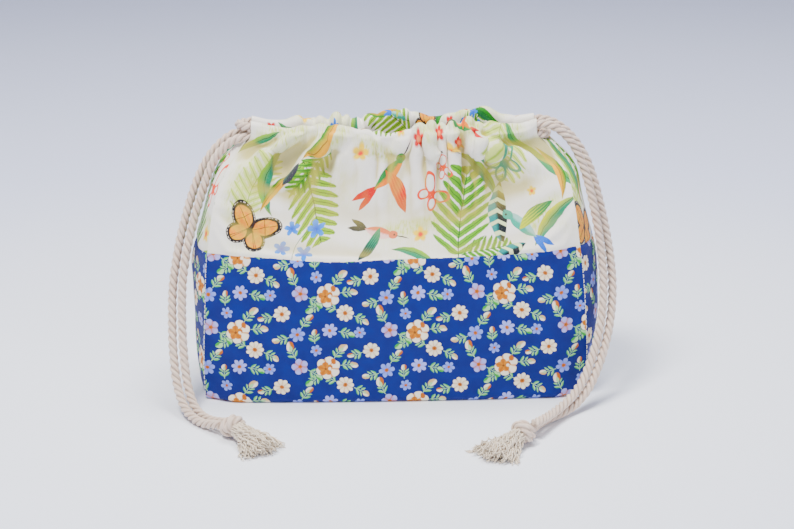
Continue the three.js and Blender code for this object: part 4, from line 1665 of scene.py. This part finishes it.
def upper_grid(side):
    """The upper wall's cloth, folded and gathered, then settled, then its folds sharpened."""
    u = np.linspace(-CLOTH_HALF, CLOTH_HALF, UPPER_COLUMNS)[None, :]
    edge = 1 - np.abs(u / CLOTH_HALF) ** 10
    seam = seam_height(-side * u / CLOTH_HALF)
    bottom = casing_bottom(side, u)
    plain = plain_wall(side, u, seam, bottom)
    x, z = plain[..., 0], plain[..., 2]
    below = bottom - z
    inside = np.zeros(z.shape)
    inside[WALL_ROWS + OUTER_ROWS :] = 1
    folds = fold_height(side, x, z) * ease(z - seam, 0, 12)
    gathers = gather_height(side, x, below)
    height = (gathers + 0.5 * folds) * (1 - 0.45 * inside)
    height = height + 0.7 * ripple(u + 0 * z, z, 60, 5 + side) * ease(z - seam, 0, 16)
    height = np.maximum((height - tuck(z - seam)) * edge, -0.3 - 4.4 * ease(below, 0, 14))
    start = plain + outward_normals(plain, (0, side, 0), WALL_ROWS)[0] * height[..., None]
    uv = np.stack(np.broadcast_arrays(u, along_rows(plain)[:, None]), -1) / UV_UNIT
    points = clear_of_ropes(settled(start, uv, held_points(z.shape)), side, u)
    normals = unit(smoothed(outward_normals(points, (0, side, 0), WALL_ROWS)[0], 6))
    more = (folds + 0.6 * gathers) * (1 - inside) * edge
    more = np.maximum(more, -0.2 - 4.0 * ease(below, 0, 14))
    return points + normals * more[..., None], uv


# ==== The pieces ====

SIDES = (("front", -1), ("back", 1))
ENDS = (("left", -1), ("right", 1))
# How far along the mouth, from its middle, a piece is meant to stay with the bag and to open with the
# mouth; open_with_mouth works them out but moves nothing by them.
FIXED_FROM = 94.0
OPENS_WITHIN = 22.0
# Each layer of a lower wall: CAD node, piece, material, slot, how far in it is and its thickness.
LAYERS = [
    ("lower_panel", "outer_cotton", BLUE_MATERIAL, "blue_cotton", 0.0, 0.8),
    ("fleece", "fleece_layer", FLEECE_MATERIAL, "fleece", 1.2, 1.5),
    ("lower_lining", "lining_cloth", LINING_MATERIAL, "lining_cotton", 3.1, 0.6),
]
LINING_INSET = 1.7
LINING_THICKNESS = 0.5
TURN_REACH = 8.0
THREAD_RADIUS = 0.3
THREAD_SIDES = 6
STITCH_POINTS = 6
STITCH_STEP = 0.5


def open_with_mouth(piece, end):
    """Bakes the piece's placement into its mesh."""
    start = (end * FIXED_FROM * MM, 0, 0)
    end * OPENS_WITHIN * MM
    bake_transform(piece)


def add_halves(name, label, grid, material, thickness):
    """A mouth piece in two halves that keep the whole one's shading."""
    middle = grid[0].shape[1] // 2
    made = []
    for (part, end), columns in zip(ENDS, (slice(0, middle + 1), slice(middle, None))):
        half = sheet_object(f"{name}_upper_{part}_{label}", grid, columns, material, thickness)
        open_with_mouth(half, end)
        made.append(half)
    return made


def add_upper_wall(name, side):
    points, uv = upper_grid(side)
    normals, sign = outward_normals(points, (0, side, 0), WALL_ROWS)
    grid = (points, normals, uv, sign)
    cloths = add_halves(name, "cloth", grid, CREAM_MATERIAL, CLOTH_THICKNESS)
    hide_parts(f"{name}_upper_panel", f"{name}_upper_left_shoulder")
    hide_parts(f"{name}_drawstring_casing", f"{name}_upper_right_shoulder")
    rows = slice(0, WALL_ROWS + 2)
    inner = (points[rows] - normals[rows] * LINING_INSET, normals[rows], uv[rows], sign)
    linings = add_halves(name, "lining", inner, LINING_MATERIAL, LINING_THICKNESS)
    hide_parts(f"{name}_upper_lining")


def add_layers(name, made):
    """A lower wall: the outer cotton, the fleece behind it and the lining inside."""
    points, uv, outward = made
    normals, sign = outward_normals(points, outward)
    for node, label, material, slot, inset, thickness in LAYERS:
        layer = points - normals * inset
        layer[..., 2] = np.maximum(layer[..., 2], LOWEST + inset)
        grid = (layer, normals, uv, sign)
        piece = sheet_object(f"{name}_{label}", grid, slice(None), material, thickness)
        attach(piece, "root")
        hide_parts(f"{name}_{node}")


def base_loop(inset):
    """The bag's outline on the floor, drawn in by inset."""
    u = np.linspace(-CLOTH_HALF, CLOTH_HALF, 121)
    z = np.full_like(u, LOWEST)
    fx, fd = long_wall(-1, u, z)
    bx, bd = long_wall(1, u, z)
    t = np.linspace(-1, 1, 49)[1:-1]
    left, right = (gusset_points(end, t, np.full_like(t, LOWEST)) for _, end in ENDS)
    x = np.concatenate([fx, right[:, 0], bx[::-1], left[::-1, 0]])
    y = np.concatenate([-fd, right[:, 1], bd[::-1], left[::-1, 1]])
    loop = np.stack([x, y], -1)
    return loop * (1 - inset / np.abs(loop).max(0))


def base_plate(name, node, inset, bottom, thickness, material):
    """A flat piece of the base, as rings drawn in from the bag's outline."""
    loop = base_loop(inset)
    rings = np.linspace(0, 1, 16)[:, None, None]
    flat = loop[None] * rings
    z = np.full(flat.shape[:2] + (1,), bottom + thickness)
    points = np.concatenate([flat, z], -1)
    points[0, :, :2] = 0
    columns = len(loop)
    faces = grid_faces(len(rings), columns, closed=True)[columns:].tolist()
    faces = [f[::-1] for f in faces] + [[columns + i for i in range(columns)]]
    plate = make_object(name, points, faces, material, flat / UV_UNIT)
    thick = plate.modifiers.new("thickness", "SOLIDIFY")
    thick.thickness = thickness * MM
    thick.offset = -1
    bake_modifiers(plate)
    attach(plate, "root")
    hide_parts(node)
    return plate


def add_base():
    outer = base_plate("base_outer_cotton", "base_panel", 0.0, 0.2, 0.8, BLUE_MATERIAL)
    base_plate("base_board", "base_stiffener", 4.2, 1.2, 1.6, BOARD_MATERIAL)
    lining = base_plate("base_lining_cloth", "base_lining", 3.4, 3.1, 0.6, LINING_MATERIAL)


def add_lower_walls():
    for name, side in SIDES:
        add_layers(name, lower_long_grid(side))
    for name, end in ENDS:
        add_layers(f"{name}_gusset", lower_gusset_grid(end))


def add_corner_stitches():
    """A row of stitches down each of the four corner seams."""
    z = np.arange(4.0, SEAM_Z + 4.0, STITCH_STEP)
    sunk = THREAD_RADIUS * np.abs(np.linspace(-1, 1, STITCH_POINTS)) ** 4
    for name, side in SIDES:
        for part, end in ENDS:
            x, y = corner_point(side, end, z)
            seam = np.stack([x + end * THREAD_RADIUS / 2, y + side * THREAD_RADIUS / 2, z], -1)
            inward = np.stack([end * sunk, side * sunk, 0 * sunk], -1)
            stitches = []
            for first in range(0, len(z) - STITCH_POINTS, STITCH_POINTS + 1):
                line = seam[first : first + STITCH_POINTS] - inward
                stitches.append(thread_tube(line, THREAD_RADIUS, THREAD_SIDES))
            points, faces, uv = join_parts(stitches)
            row = make_object(f"{name}_{part}_seam_stitches", points, faces, THREAD_MATERIAL, uv)
            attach(row, "root")


def add_upper_gussets():
    for name, end in ENDS:
        points, uv, outward = upper_gusset_grid(end)
        normals, sign = outward_normals(points, outward)
        grid = (points, normals, uv, sign)
        label = f"{name}_gusset_upper_cloth"
        piece = sheet_object(label, grid, slice(None), CREAM_MATERIAL)
        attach(piece, "root")
        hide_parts(f"{name}_gusset_upper_panel")


def run_line(side, lane):
    """A rope's line inside a casing. The left rope runs below the right one."""
    x = np.linspace(-MOUTH_END, MOUTH_END, 61)
    height = lane_at(side, x) - (LANE_SPACING if lane == "left" else 0.0)
    return resample(np.stack([x, side * mouth_offset(x), height], -1), ROPE_STEP)


def add_runs():
    for name, side in SIDES:
        for lane in ("left", "right"):
            line = run_line(side, lane)
            middle = len(line) // 2
            for (part, end), stretch in zip(ENDS, (line[: middle + 1], line[middle:])):
                rope = add_rope(f"{lane}_rope_{name}_{part}_run", stretch)
                open_with_mouth(rope, end)
                if end < 0:
                    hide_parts(f"{lane}_cord_{name}_run")


def add_turns():
    """Where each rope turns back, outside the casings' far ends."""
    for lane, end in (("left", 1), ("right", -1)):
        low, high = box_mm(f"{lane}_cord_turn")
        angles = np.linspace(-math.pi / 2, math.pi / 2, 13)
        x = end * (MOUTH_END + TURN_REACH * np.cos(angles))
        height = np.full_like(x, (low[2] + high[2]) / 2)
        line = np.stack([x, TURN_REACH * np.sin(angles), height], -1)
        rope = add_rope(f"{lane}_rope_turn", resample(line, ROPE_STEP))
        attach(rope, "root")
        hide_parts(f"{lane}_cord_turn")


add_base()
add_lower_walls()
add_corner_stitches()
add_upper_gussets()
for wall_name, wall_side in SIDES:
    add_upper_wall(wall_name, wall_side)
add_runs()
add_turns()
